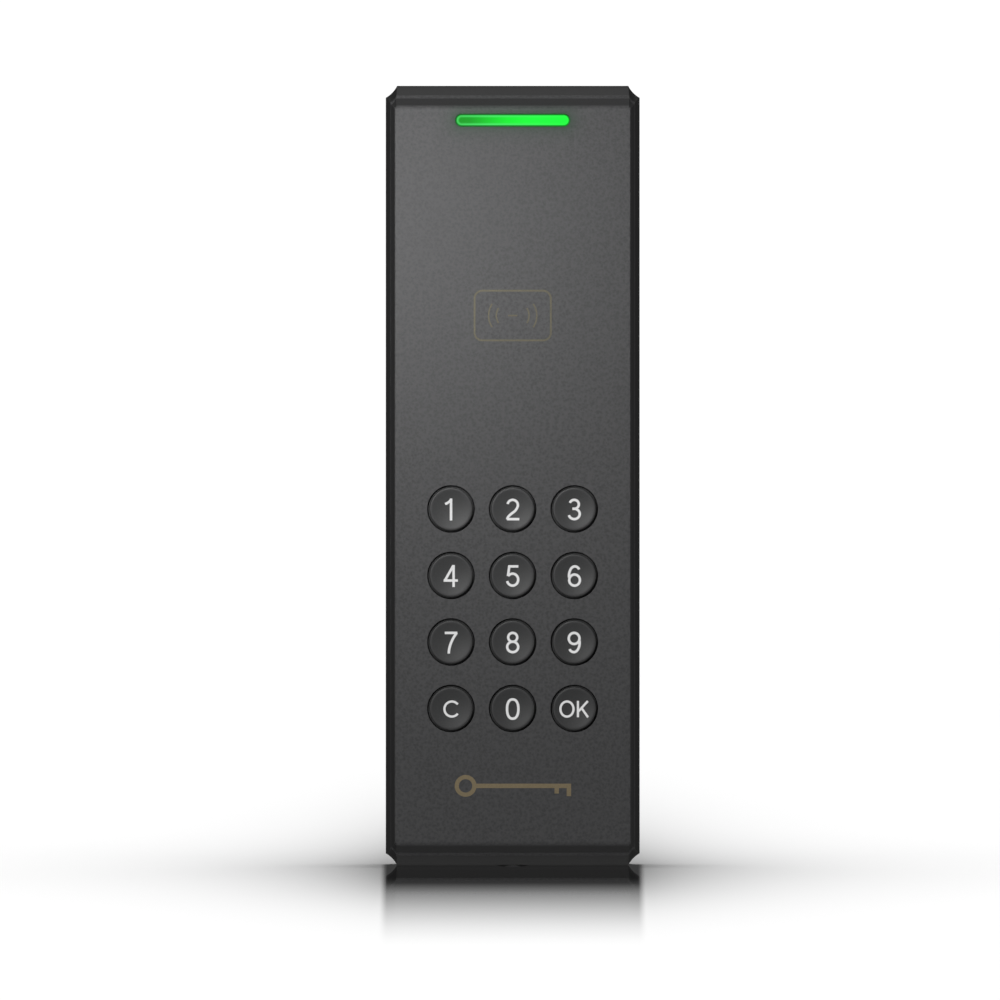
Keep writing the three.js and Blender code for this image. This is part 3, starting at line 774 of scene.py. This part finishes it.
# Each sign is a list of strokes in units of its own height, centred across; a stroke that
# ends where it starts is closed.
SIGNS = {
    "1": [[(0, 0), (0, 1)], curve([(0.02, 0.96), (-0.06, 0.88), (-0.16, 0.80), (-0.27, 0.745)])],
    "2": [arc(0, 0.70, 0.235, 0.237, 168, -20) + curve([(0.20, 0.565), (0.10, 0.43), (-0.07, 0.30),
                                                        (-0.20, 0.17), (-0.262, 0.05)])[1:],
          [(-0.262, 0.063), (0.30, 0.063)]],
    "3": [arc(-0.005, 0.735, 0.21, 0.202, 160, -90) + [(-0.09, 0.533)],
          arc(-0.005, 0.298, 0.25, 0.235, 92, -166)],
    "4": [[(0.115, 0), (0.115, 1)], [(0.10, 0.965), (-0.285, 0.285)],
          [(-0.335, 0.295), (0.31, 0.295)]],
    "5": [[(-0.195, 0.937), (0.255, 0.937)], [(-0.15, 0.98), (-0.215, 0.50)],
          arc(-0.005, 0.335, 0.255, 0.272, 143, -166)],
    "6": [arc(0.01, 0.315, 0.243, 0.252, 0, 360, 36),
          arc(0.02, 0.50, 0.262, 0.437, 190, 95) + arc(0.01, 0.74, 0.215, 0.197, 82, 18, 8)],
    "7": [[(-0.285, 0.937), (0.285, 0.937)],
          curve([(0.262, 0.945), (0.10, 0.70), (-0.02, 0.43), (-0.085, 0.20), (-0.105, 0)])],
    "8": [arc(0, 0.735, 0.205, 0.202, 0, 360, 32), arc(0, 0.30, 0.25, 0.237, 0, 360, 36)],
    "9": [arc(-0.01, 0.685, 0.243, 0.252, 0, 360, 36),
          arc(-0.02, 0.50, 0.262, 0.437, 10, -85) + arc(-0.01, 0.26, 0.215, 0.197, -98, -162, 8)],
    "0": [arc(0, 0.5, 0.257, 0.437, 0, 360, 48, 2.3)],
    "c": [arc(0.05, 0.5, 0.455, 0.46, 38, 322, 40)],
    "o": [arc(0, 0.5, 0.40, 0.46, 0, 360, 44)],
    "k": [[(-0.30, 0), (-0.30, 1)], [(-0.29, 0.33), (0.30, 0.985)], [(-0.08, 0.56), (0.315, 0.0)]],
}
DIGIT_HEIGHT = 4.3
DIGIT_STROKE = 0.49
WORD_HEIGHT = 3.2
WORD_STROKE = 0.43
LEGENDS = {key: [(key, 0.0, DIGIT_HEIGHT, DIGIT_STROKE)] for key in KEYS[:9] + ("0",)}
LEGENDS["c"] = [("c", 0.0, WORD_HEIGHT, WORD_STROKE)]
LEGENDS["ok"] = [("o", -1.44, WORD_HEIGHT, WORD_STROKE), ("k", 1.66, WORD_HEIGHT, WORD_STROKE)]


def dense(points, step_mm=0.3):
    """The same line with long stretches divided."""
    filled = [points[0]]
    for start, end in zip(points, points[1:]):
        parts = max(1, math.ceil(math.dist(start, end) / step_mm))
        filled += [tuple(s + (e - s) * i / parts for s, e in zip(start, end))
                   for i in range(1, parts + 1)]
    return filled


def ribbon(points, width, low, high):
    """A flat solid stroke along (x, z) points, between two heights above its surface."""
    closed = math.dist(points[0], points[-1]) < 1e-6
    line = dense(points)
    if closed:
        line = line[:-1]
    count = len(line)
    sides = []
    for i, point in enumerate(line):
        before = line[(i - 1) % count] if closed or i else point
        after = line[(i + 1) % count] if closed or i < count - 1 else point
        along = Vector((after[0] - before[0], after[1] - before[1])).normalized()
        across = Vector((-along.y, along.x)) * width / 2
        if point not in (before, after):
            first = Vector((point[0] - before[0], point[1] - before[1])).normalized()
            across /= max(0.5, first.dot(along))
        sides.append((Vector(point) + across, Vector(point) - across))
    solid = bmesh.new()
    rows = [[solid.verts.new((p.x * MM, -h * MM, p.y * MM)) for h in (low, high) for p in pair]
            for pair in sides]
    pairs = list(zip(rows, rows[1:] + rows[:1])) if closed else list(zip(rows, rows[1:]))
    for here, there in pairs:
        for a, b in ((0, 1), (1, 3), (3, 2), (2, 0)):
            solid.faces.new((here[a], here[b], there[b], there[a]))
    if not closed:
        for row in (rows[0], rows[-1]):
            solid.faces.new((row[0], row[1], row[3], row[2]))
    bmesh.ops.recalc_face_normals(solid, faces=solid.faces)
    return solid


def printed(name, strokes, surface, low=-0.05, high=0.015):
    """Strokes of (points, width), joined where they cross and laid on a surface of (x, z)."""
    shapes = [ribbon(points, width, low, high) for points, width in strokes]
    piece = put(name, shapes[0])
    for shape in shapes[1:]:
        weld(piece, shape)
    solid = bmesh.new()
    solid.from_mesh(piece.data)
    bmesh.ops.remove_doubles(solid, verts=solid.verts, dist=1e-6)
    bmesh.ops.triangulate(solid, faces=solid.faces)
    for vert in solid.verts:
        vert.co.y += surface(vert.co.x / MM, vert.co.z / MM) * MM
    solid.to_mesh(piece.data)
    solid.free()
    return piece


def legend(key):
    cx, cz = middle(f"key_{key}")
    strokes = []
    for sign, shift, height, width in LEGENDS[key]:
        left, bottom = cx + shift, cz - 0.08 - height / 2
        for points in SIGNS[sign]:
            strokes.append(([(left + x * height, bottom + z * height) for x, z in points], width))
    piece = printed(f"legend_{key}", strokes, lambda x, z: dish(math.hypot(x - cx, z - cz)))
    return finished(piece, ink, body=f"key_{key}")


# -------- printed marks

def on_face(_x, _z):
    return FACE_Y


def card_symbol():
    """Rounded card outline with radio arcs on both sides of a short bar."""
    z0 = 31.25
    frame_line = outline_round(7.45, 4.85, 1.5, centre_z=z0)
    strokes = [(frame_line + frame_line[:1], 0.36)]
    for side in (-1, 1):
        for reach in (2.6, 4.1):
            facing = 180 if side < 0 else 0
            strokes.append((arc(side * 0.6, z0, reach, reach, facing - 34, facing + 34, 14), 0.3))
    strokes.append(([(-0.9, z0), (0.9, z0)], 0.32))
    gold = gold_ink("card_symbol_ink", (0.150, 0.135, 0.085), (0.105, 0.098, 0.068))
    return finished(printed("card_symbol", strokes, on_face), gold)


def key_symbol():
    """A plain door key lying on its side: bow, shaft and two teeth."""
    z0 = -60.6
    shaft = 0.86
    strokes = [(arc(-9.2, z0, 1.72, 1.72, 0, 360, 48), 0.82), ([(-7.5, z0), (11.4, z0)], shaft)]
    teeth = ((10.97, 2.0), (8.6, 1.5))
    strokes += [([(x, z0 + 0.2), (x, z0 - length)], shaft) for x, length in teeth]
    gold = gold_ink("key_symbol_ink", (0.33, 0.262, 0.155), (0.27, 0.214, 0.125))
    return finished(printed("key_symbol", strokes, on_face), gold)


# -------- light bar

def light_bar():
    flange = outline_round(12.4, 1.7, 1.69, steps=10, centre_z=LIGHT_Z)
    flange_back, flange_front = -20.8, -21.7
    rings = [level(flange, flange_back), level(flange, flange_front),
             level(light_outline(0), flange_front)]
    dome = [(0, 0), (-0.05, -0.10), (-0.14, -0.17), (-0.34, -0.21), (-0.62, -0.22)]
    rings += [level(light_outline(grow), FACE_Y + 0.16 + rise) for grow, rise in dome]
    lens = put("light_lens", lofted(rings))
    for number in (1, 2, 3):
        x, z = middle(f"status_led_{number}")
        weld(lens, brick((x - 1.6, -21.3, z - 1.2), (x + 1.6, -19.6, z + 1.2)))
    return finished(lens, lit_lens(), ("light_guide",), sharp=60)


# -------- wall plate and seals

def wall_plate():
    plate = put("wall_plate_sheet", slab(outline_round(22.7, 74.3, 2.2), 0, -1.6))
    window_x, window_z = middle("cable_grommet")
    cuts = [slab(outline_round(11, 9, 2, centre_x=window_x, centre_z=window_z), 1, -3)]
    cuts += [slab(outline_round(2, 4, 1.998, centre_z=z), 1, -3) for z in (-41.65, -30, 30, 41.65)]
    carve(plate, *cuts)
    carve(plate, *[lofted([level(outline_round(1.3 - d, 46 - d, 1.29 - d, centre_x=x), y)
                           for d, y in ((0, 1), (0.05, 0), (0.4, -0.3))]) for x in (-16.5, 16.5)])
    for side in (-1, 1):
        low, high = side * 7 - 3, side * 7 + 3
        weld(plate, brick((low, -7, 66), (high, -0.8, 67.5)))
        weld(plate, brick((low, -7, 66), (high, -5.5, 69.6)))
    weld(plate, brick((-5, -9.6, -71.8), (5, -0.8, -70.3)))
    carve(plate, screw_bore([(0, -73), (1.7, -73), (1.7, -69), (0, -69)], 40))
    soften(plate, 0.18, 2)
    return finished(plate, zinc, ("wall_plate",))


def cable_grommet():
    profile = filleted([
        (5.5, -4.0), (5.5, -5.4), (9.8, -5.4), (9.8, -4.8), (7.7, -4.8), (7.7, -2.7), (9.8, -2.7),
        (9.8, -2.1), (5.5, -2.1), (5.5, -4.0)], (0, 0.3, 0.25, 0.25, 0.1, 0.1, 0.25, 0.25, 0.3, 0))
    centre = middle("cable_grommet")
    rings = [circle(radius, place, centre, 80) for radius, place in profile[:-1]]
    piece = put("cable_grommet_ring", lofted(rings, hollow=True))
    return finished(piece, rubber, ("cable_grommet",))


# -------- inner parts

def threaded(start, heading, head, shank, length, pitch=0.5):
    """A screw's profile: pan head, ridged shank and a blunt tip. Head is (radius, length)."""
    radius, thick = head
    core = shank - 0.2
    profile = [(0, 0), (radius - 0.5, 0), (radius - 0.12, 0.25), (radius, 0.6), head,
               (shank, thick)]
    depth = thick + 0.4
    while depth < length - 0.6:
        profile += [(shank, depth), (core, depth + pitch / 2)]
        depth += pitch
    profile += [(core, length - 0.4), (shank * 0.5, length), (0, length)]
    return [(out, start + heading * place) for out, place in profile]


def screw(node, head, shank, axis, heading):
    """A screw whose head is at its low end along the axis, or at its high end if heading is -1."""
    part = Extent(node)
    along = "XYZ".index(axis)
    start = part.low[along] if heading > 0 else part.high[along]
    length = part.high[along] - part.low[along]
    across = (part.centre.x, part.centre.z if axis == "Y" else part.centre.y)
    profile = threaded(start, heading, head, shank, length)
    piece = put(f"{node}_turned", turned(profile, across, 40, axis))
    socket = [(0, start - heading), (1.1, start - heading), (1.1, start + heading * 0.9),
              (0, start + heading * 1.2)]
    carve(piece, turned(socket, across, 6, axis))
    return finished(piece, steel, (node,))


def many(name, solids, material):
    """One piece made of several small solids."""
    return finished(put(name, merged(solids)), material)


def flat_chip(node, inset, pins, pin_width, dot_x):
    """A flat chip: body with a corner dot, and bent pins along its four sides."""
    part = Extent(node)
    low, high = part.low, part.high
    body = put(f"{node}_body", brick((low.x + inset, low.y + 0.12, low.z + inset),
                                     (high.x - inset, high.y, high.z - inset)))
    soften(body, 0.12, 2)
    carve(body, rod(0.35, high.y - 0.08, high.y + 1, (dot_x, high.z - inset - 0.9), 24))
    finished(body, chip_black, (node,))
    feet = []
    for number in range(pins):
        shift = (number - (pins - 1) / 2) * pin_width * 2
        for side in (-1, 1):
            for turned_over in (False, True):
                reach, start, row = part.half.x, part.centre.x, part.centre.z + shift
                if turned_over:
                    reach, start, row = part.half.z, part.centre.z, part.centre.x + shift
                sides = (row - pin_width / 2, row + pin_width / 2)
                elbow = reach - inset * 0.55
                for near, far, front, back in (
                        (reach - inset - 0.1, elbow, 0.45, 0.65), (elbow - 0.1, reach, 0.0, 0.2),
                        (elbow - 0.1, elbow + 0.1, 0.02, 0.63)):
                    ends = sorted((start + side * near, start + side * far))
                    xs, zs = (sides, ends) if turned_over else (ends, sides)
                    feet.append(brick((xs[0], low.y + front, zs[0]), (xs[1], low.y + back, zs[1])))
    many(f"{node}_pins", feet, tin)


def regulator():
    part = Extent("voltage_regulator")
    low, high = part.low, part.high
    body = put("voltage_regulator_body", brick((low.x, low.y + 0.1, low.z + 1.4), high))
    soften(body, 0.2, 2)
    finished(body, chip_black, ("voltage_regulator",))
    legs = [brick((x - 0.4, low.y, low.z), (x + 0.4, low.y + 0.5, low.z + 2))
            for x in (low.x + 1.1, low.x + 3.3, high.x - 1.1)]
    tab = brick((low.x + 0.5, low.y, high.z - 1.6), (high.x - 0.5, low.y + 0.6, high.z - 0.05))
    many("voltage_regulator_legs", [*legs, tab], tin)


def terminal_block():
    part = Extent("terminal_block")
    low, high = part.low, part.high
    block = put("terminal_block_body", brick(low, high))
    soften(block, 0.35, 2)
    pitch = (high.x - low.x) / 6
    ways = [low.x + pitch * (number + 0.5) for number in range(6)]
    screw_z = part.centre.z + 0.6
    carve(block, *[rod(1.25, high.y - 4, high.y + 1, (x, screw_z), 32) for x in ways],
          *[brick((x - 1.1, low.y + 1.6, low.z - 1), (x + 1.1, low.y + 4.2, low.z + 3.4))
            for x in ways],
          *[brick((x - 0.15, low.y + 1, low.z - 1), (x + 0.15, high.y + 1, low.z + 0.35))
            for x in (low.x + pitch * number for number in range(1, 6))])
    finished(block, terminal_green, ("terminal_block",))
    head_top, rim, head_end = high.y - 2.2, high.y - 2.4, high.y - 3.9
    profile = [(0, head_top), (0.85, head_top), (1.05, rim), (1.05, head_end), (0, head_end)]
    for number, x in enumerate(ways, 1):
        head = put(f"terminal_screw_{number}", turned(profile, (x, screw_z), 32))
        carve(head, brick((x - 0.16, high.y - 2.65, part.centre.z - 1),
                          (x + 0.16, high.y, part.centre.z + 2)))
        finished(head, steel)


def buzzer():
    part = Extent("buzzer")
    radius, top, base = part.half.x, part.high.y, part.low.y
    profile = filleted([
        (0, top - 1.5), (1, top - 1.5), (1, top), (4.2, top), (4.2, top - 0.3), (4.6, top - 0.3),
        (4.6, top), (radius, top), (radius, base + 0.8), (radius - 0.3, base + 0.8),
        (radius - 0.3, base), (0, base)], (0, 0, 0.15, 0.1, 0.05, 0.05, 0.1, 0.5, 0.1, 0, 0.1, 0))
    piece = put("buzzer_case_round", turned(profile, middle("buzzer"), 72))
    finished(piece, chip_black, ("buzzer",))


def capacitor():
    part = Extent("power_capacitor")
    x, z = across = middle("power_capacitor")
    radius, top, base = part.half.x, part.high.y, part.low.y
    wall, waist = radius - 0.1, radius - 0.5
    profile = filleted([
        (0, base + 0.9), (wall, base + 0.9), (wall, base + 1.5), (waist, base + 1.7),
        (waist, base + 1.9), (wall, base + 2.1), (wall, top), (radius - 0.7, top),
        (radius - 0.9, top - 0.12), (0, top - 0.12)],
        (0, 0.1, 0.15, 0.1, 0.1, 0.15, 0.4, 0.1, 0.1, 0))
    can = put("power_capacitor_can", turned(profile, across, 64))
    carve(can, brick((x - 1.5, top - 0.3, z - 0.12), (x + 1.5, top + 1, z + 0.12)),
          brick((x - 0.12, top - 0.31, z - 1.5), (x + 0.12, top + 1.1, z + 1.5)))
    finished(can, aluminium, ("power_capacitor",))
    base_plate = slab(outline_round(radius, radius, 0.7, 4, *across), base + 0.8, base)
    finished(put("power_capacitor_foot", base_plate), chip_black)


def tamper_contact():
    part = Extent("tamper_switch")
    low, high, centre = part.low, part.high, part.centre
    body = put("tamper_switch_body", brick(low, high))
    soften(body, 0.25, 2)
    carve(body, rod(PLUNGER_HOLE, high.y - 4.6, high.y + 1, (centre.x, centre.z)),
          *[brick((x - 0.5, low.y - 1, z - 0.5), (x + 0.5, low.y + 0.7, z + 0.5))
            for x in (low.x, high.x) for z in (centre.z - 1.8, centre.z + 1.8)])
    finished(body, chip_black, ("tamper_switch",))

    plunger = Extent("tamper_plunger")
    radius, front, back = plunger.half.x, plunger.low.y, plunger.high.y
    profile = filleted([(0, front), (radius, front), (radius, back - 1.6),
                        (radius - 0.12, back - 1.5), (radius - 0.12, back), (0, back)],
                       (0, 0.3, 0.05, 0.05, 0.6, 0))
    pin = put("tamper_plunger_pin", turned(profile, middle("tamper_plunger"), 48))
    finished(pin, plunger_white, ("tamper_plunger",), "tamper_plunger")


def key_spring(key):
    """The rubber dome behind a key."""
    dome = Extent(f"key_dome_{key}")
    radius, front, back = dome.half.x, dome.low.y, dome.high.y
    profile = filleted([(0, front), (1.9, front), (2.15, front + 0.4), (radius, back - 0.5),
                        (radius, back), (0, back)], (0, 0.15, 0.2, 0.15, 0.05, 0))
    piece = put(f"key_spring_{key}", turned(profile, middle(f"key_{key}"), 64))
    finished(piece, rubber, (f"key_dome_{key}",), f"key_{key}")


def hoop(outer, inner, back, front):
    """A flat closed loop between two outlines of as many points."""
    return lofted([level(outer, front), level(outer, back), level(inner, back),
                   level(inner, front)], hollow=True)


def antenna():
    part = Extent("antenna_coil")
    turns = []
    for turn in range(4):
        grow = turn * 0.66
        loops = [outline_round(part.half.x - g, part.half.z - g, 3 - g * 0.9, 8,
                               part.centre.x, part.centre.z) for g in (grow, grow + 0.5)]
        turns.append(hoop(*loops, part.high.y, part.low.y))
    coil = put("antenna_coil_turns", merged(turns))
    soften(coil, 0.14, 2)
    finished(coil, copper, ("antenna_coil",))


def mat():
    part = Extent("keypad_mat")
    front, back = part.low.y, part.high.y
    outline = outline_round(part.half.x, part.half.z, 2, 8, part.centre.x, part.centre.z)
    sheet = put("keypad_mat_sheet", slab(outline, back, front))
    carve(sheet, *[rod(3.9, front - 1, back + 1, middle(f"key_{key}"), 56) for key in KEYS])
    soften(sheet, 0.12, 2)
    finished(sheet, rubber, ("keypad_mat",))


def gasket():
    part = Extent("cover_gasket")
    outer = outline_round(part.half.x, part.half.z, 1, 10)
    inner = outline_round(part.half.x - 0.8, part.half.z - 0.8, 0.5, 10)
    bead = put("cover_gasket_bead", hoop(outer, inner, part.high.y, part.low.y))
    soften(bead, 0.25, 4)
    finished(bead, rubber, ("cover_gasket",))


def status_led(number):
    node = f"status_led_{number}"
    part = Extent(node)
    front = part.low.y
    body = put(f"{node}_body", brick((part.low.x, front + 0.2, part.low.z), part.high))
    soften(body, 0.12, 2)
    carve(body, rod(1.0, front - 1, front + 0.32, middle(node), 40))
    finished(body, led_white, (node,))
    profile = filleted([(0, front), (0.5, front), (0.9, front + 0.3), (0.9, front + 0.5),
                        (0, front + 0.5)], (0, 0.25, 0.1, 0.05, 0))
    lens = put(f"{node}_lens", turned(profile, middle(node), 40))
    finished(lens, led_lens)


PASSIVES = (  # Small two-ended parts: centre x, centre z, and 1 if it stands upright.
    (-9, -34, 0), (-9, -37, 0), (-9, -40, 0), (-9, -43, 0), (8.2, -43, 0), (8.2, -46, 0),
    (0, -30, 1), (3, -30, 1), (-3, -30, 1), (0, -46.5, 1), (3, -46.5, 1), (-3, -46.5, 1),
    (-6, 28, 0), (-6, 25.4, 0), (6, 28, 0), (6, 25.4, 0), (-2, 34.5, 1), (2, 34.5, 1),
    (-13, 27, 1), (-10, 27, 1), (-16, 27, 1), (-8, 60, 0), (-4, 60, 0), (4, 60, 0), (8, 60, 0),
    (-16, 14, 0), (-16, 11, 0), (16, 14, 0), (16, 17, 0))


def chip_brick(x, z, half_length, half_width, upright, front, back):
    """A small brick lying along X, or along Z if it is upright."""
    half_x, half_z = (half_width, half_length) if upright else (half_length, half_width)
    return brick((x - half_x, front, z - half_z), (x + half_x, back, z + half_z))


def passives():
    back = Extent("main_board").high.y + 0.02
    bodies, ends = [], []
    for x, z, upright in PASSIVES:
        bodies.append(chip_brick(x, z, 1.0, 0.6, upright, back + 0.02, back + 0.55))
        for side in (-0.85, 0.85):
            cap_x, cap_z = (x, z + side) if upright else (x + side, z)
            ends.append(chip_brick(cap_x, cap_z, 0.22, 0.63, upright, back, back + 0.58))
    many("board_passives", bodies, ceramic)
    many("board_passive_ends", ends, tin)
    can = slab(outline_round(2.6, 1.1, 1.0, 6, -9.5, -48.5), back + 1.6, back)
    crystal = put("clock_crystal", can)
    soften(crystal, 0.2, 2)
    finished(crystal, aluminium)


def board():
    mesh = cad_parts["main_board"].data
    mesh.materials.clear()
    mesh.materials.append(solder_mask())


# -------- studio

def light_group(name, state, *members):
    """A light-linking group that takes in, or leaves out, some objects."""
    group = bpy.data.collections.new(name)
    for member in members:
        group.objects.link(member)
    for linked in group.collection_objects:
        linked.light_linking.link_state = state
    return group


def lamp(name, kind, place_mm, aim_mm, energy, group):
    light = bpy.data.lights.new(name, kind)
    light.energy = energy
    holder = bpy.data.objects.new(name, light)
    holder.location = Vector(place_mm) * MM
    holder.rotation_euler = (Vector(aim_mm) - Vector(place_mm)).to_track_quat("-Z", "Y").to_euler()
    bpy.context.scene.collection.objects.link(holder)
    holder.visible_camera = False
    holder.light_linking.receiver_collection = group
    return light


def soft_box(name, place_mm, aim_mm, energy, size_mm, group):
    light = lamp(name, "AREA", place_mm, aim_mm, energy, group)
    light.shape = "RECTANGLE"
    light.size, light.size_y = (side * MM for side in size_mm)


LAMPS = (  # Name, place and aim in mm, power, size in mm.
    ("front_fill", (-380, -880, 250), (0, -20, 0), 2.62, (500, 500)),
    ("top_light", (0, 60, 700), (0, -60, -76), 1.2, (900, 700)),
    ("bounce_light", (0, -150, -620), (0, -20, -76), 0.5, (400, 400)),
    ("upper_rim", (0, 450, 520), (0, 0, 0), 0.10, (500, 300)),
    ("lower_rim", (0, 450, -520), (0, 0, 0), 0.07, (500, 300)),
    ("right_side", (700, -260, 0), (0, -20, 0), 0.9, (300, 300)),
)
CORNER_LAMP = ("key_light", (-33, -112, 56), (-33, 0, 56), 0.073, (60, 60))
REAR_CARD = ("rear_card", (0, 1000, -150), (0, 0, 0), 4.0, (900, 600))


def white_world(lighting=0.055, seen=1.05):
    """White all round: weak as a light, full where the camera looks at it."""
    world = bpy.data.worlds.new("studio_white")
    bpy.context.scene.world = world
    world.use_nodes = True
    tree = world.node_tree
    shades = [tree.nodes["Background"], tree.nodes.new("ShaderNodeBackground")]
    path = tree.nodes.new("ShaderNodeLightPath")
    choose = tree.nodes.new("ShaderNodeMixShader")
    tree.links.new(path.outputs["Is Camera Ray"], choose.inputs[0])
    for index, (shade, strength) in enumerate(zip(shades, (lighting, seen)), 1):
        shade.inputs["Color"].default_value = (1, 1, 1, 1)
        shade.inputs["Strength"].default_value = strength
        tree.links.new(shade.outputs[0], choose.inputs[index])
    tree.links.new(choose.outputs[0], tree.nodes["World Output"].inputs["Surface"])


def studio(back_pieces):
    low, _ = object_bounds()
    corners = ((-3, -3), (3, -3), (3, 4), (-3, 4))
    rings = [[Vector((x, y, low.z - drop)) for x, y in corners] for drop in (0.01, 0)]
    floor = put("floor", lofted(rings))
    floor.data.materials.append(floor_white())
    floor.visible_diffuse = False
    floor.visible_glossy = False
    floor.visible_shadow = False
    floor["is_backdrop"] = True

    floor_only = light_group("floor_only", "INCLUDE", floor)
    all_but_floor = light_group("all_but_floor", "EXCLUDE", floor)
    back_only = light_group("back_only", "INCLUDE", *back_pieces)
    floor_sun = lamp("floor_sun", "SUN", (0, 0, 900), (0, 0, 0), 3.4, floor_only)
    floor_sun.angle = math.radians(110)
    for entry in (CORNER_LAMP, *LAMPS):
        soft_box(*entry, all_but_floor)
    soft_box(*REAR_CARD, back_only)
    white_world()


def camera(distance=2.0095):
    """A long lens before the reader, level, shifted so that the reader sits as it should."""
    lens = bpy.data.cameras.new("camera")
    lens.lens = 366
    lens.sensor_width = 36
    lens.shift_x = -0.0127
    lens.shift_y = -0.02445
    lens.clip_end = 20
    holder = bpy.data.objects.new("camera", lens)
    holder.location = (0, -distance, 0)
    holder.rotation_euler = (math.pi / 2, 0, 0)
    bpy.context.scene.collection.objects.link(holder)
    bpy.context.scene.camera = holder


front_cover()
rear_housing()
for key in KEYS:
    key_cap(key)
    legend(key)
    key_spring(key)
card_symbol()
key_symbol()
light_bar()
back_pieces = [wall_plate(), cable_grommet()]
board()
passives()
flat_chip("microcontroller", 0.9, 9, 0.4, -3.2)
flat_chip("card_reader_chip", 0.35, 6, 0.36, -1.9)
regulator()
terminal_block()
buzzer()
capacitor()
tamper_contact()
antenna()
mat()
gasket()
for number in (1, 2, 3):
    status_led(number)
for number in (1, 2, 3, 4):
    screw(f"cover_screw_{number}", (2.7, 1.6), 1.2, "Y", -1)
for number in (1, 2):
    screw(f"board_screw_{number}", (2.3, 1.4), 1.1, "Y", 1)
screw("security_screw", (2.8, 1.6), 1.4, "Z", 1)
studio(back_pieces)
camera()
bpy.context.scene.view_settings.view_transform = "Standard"
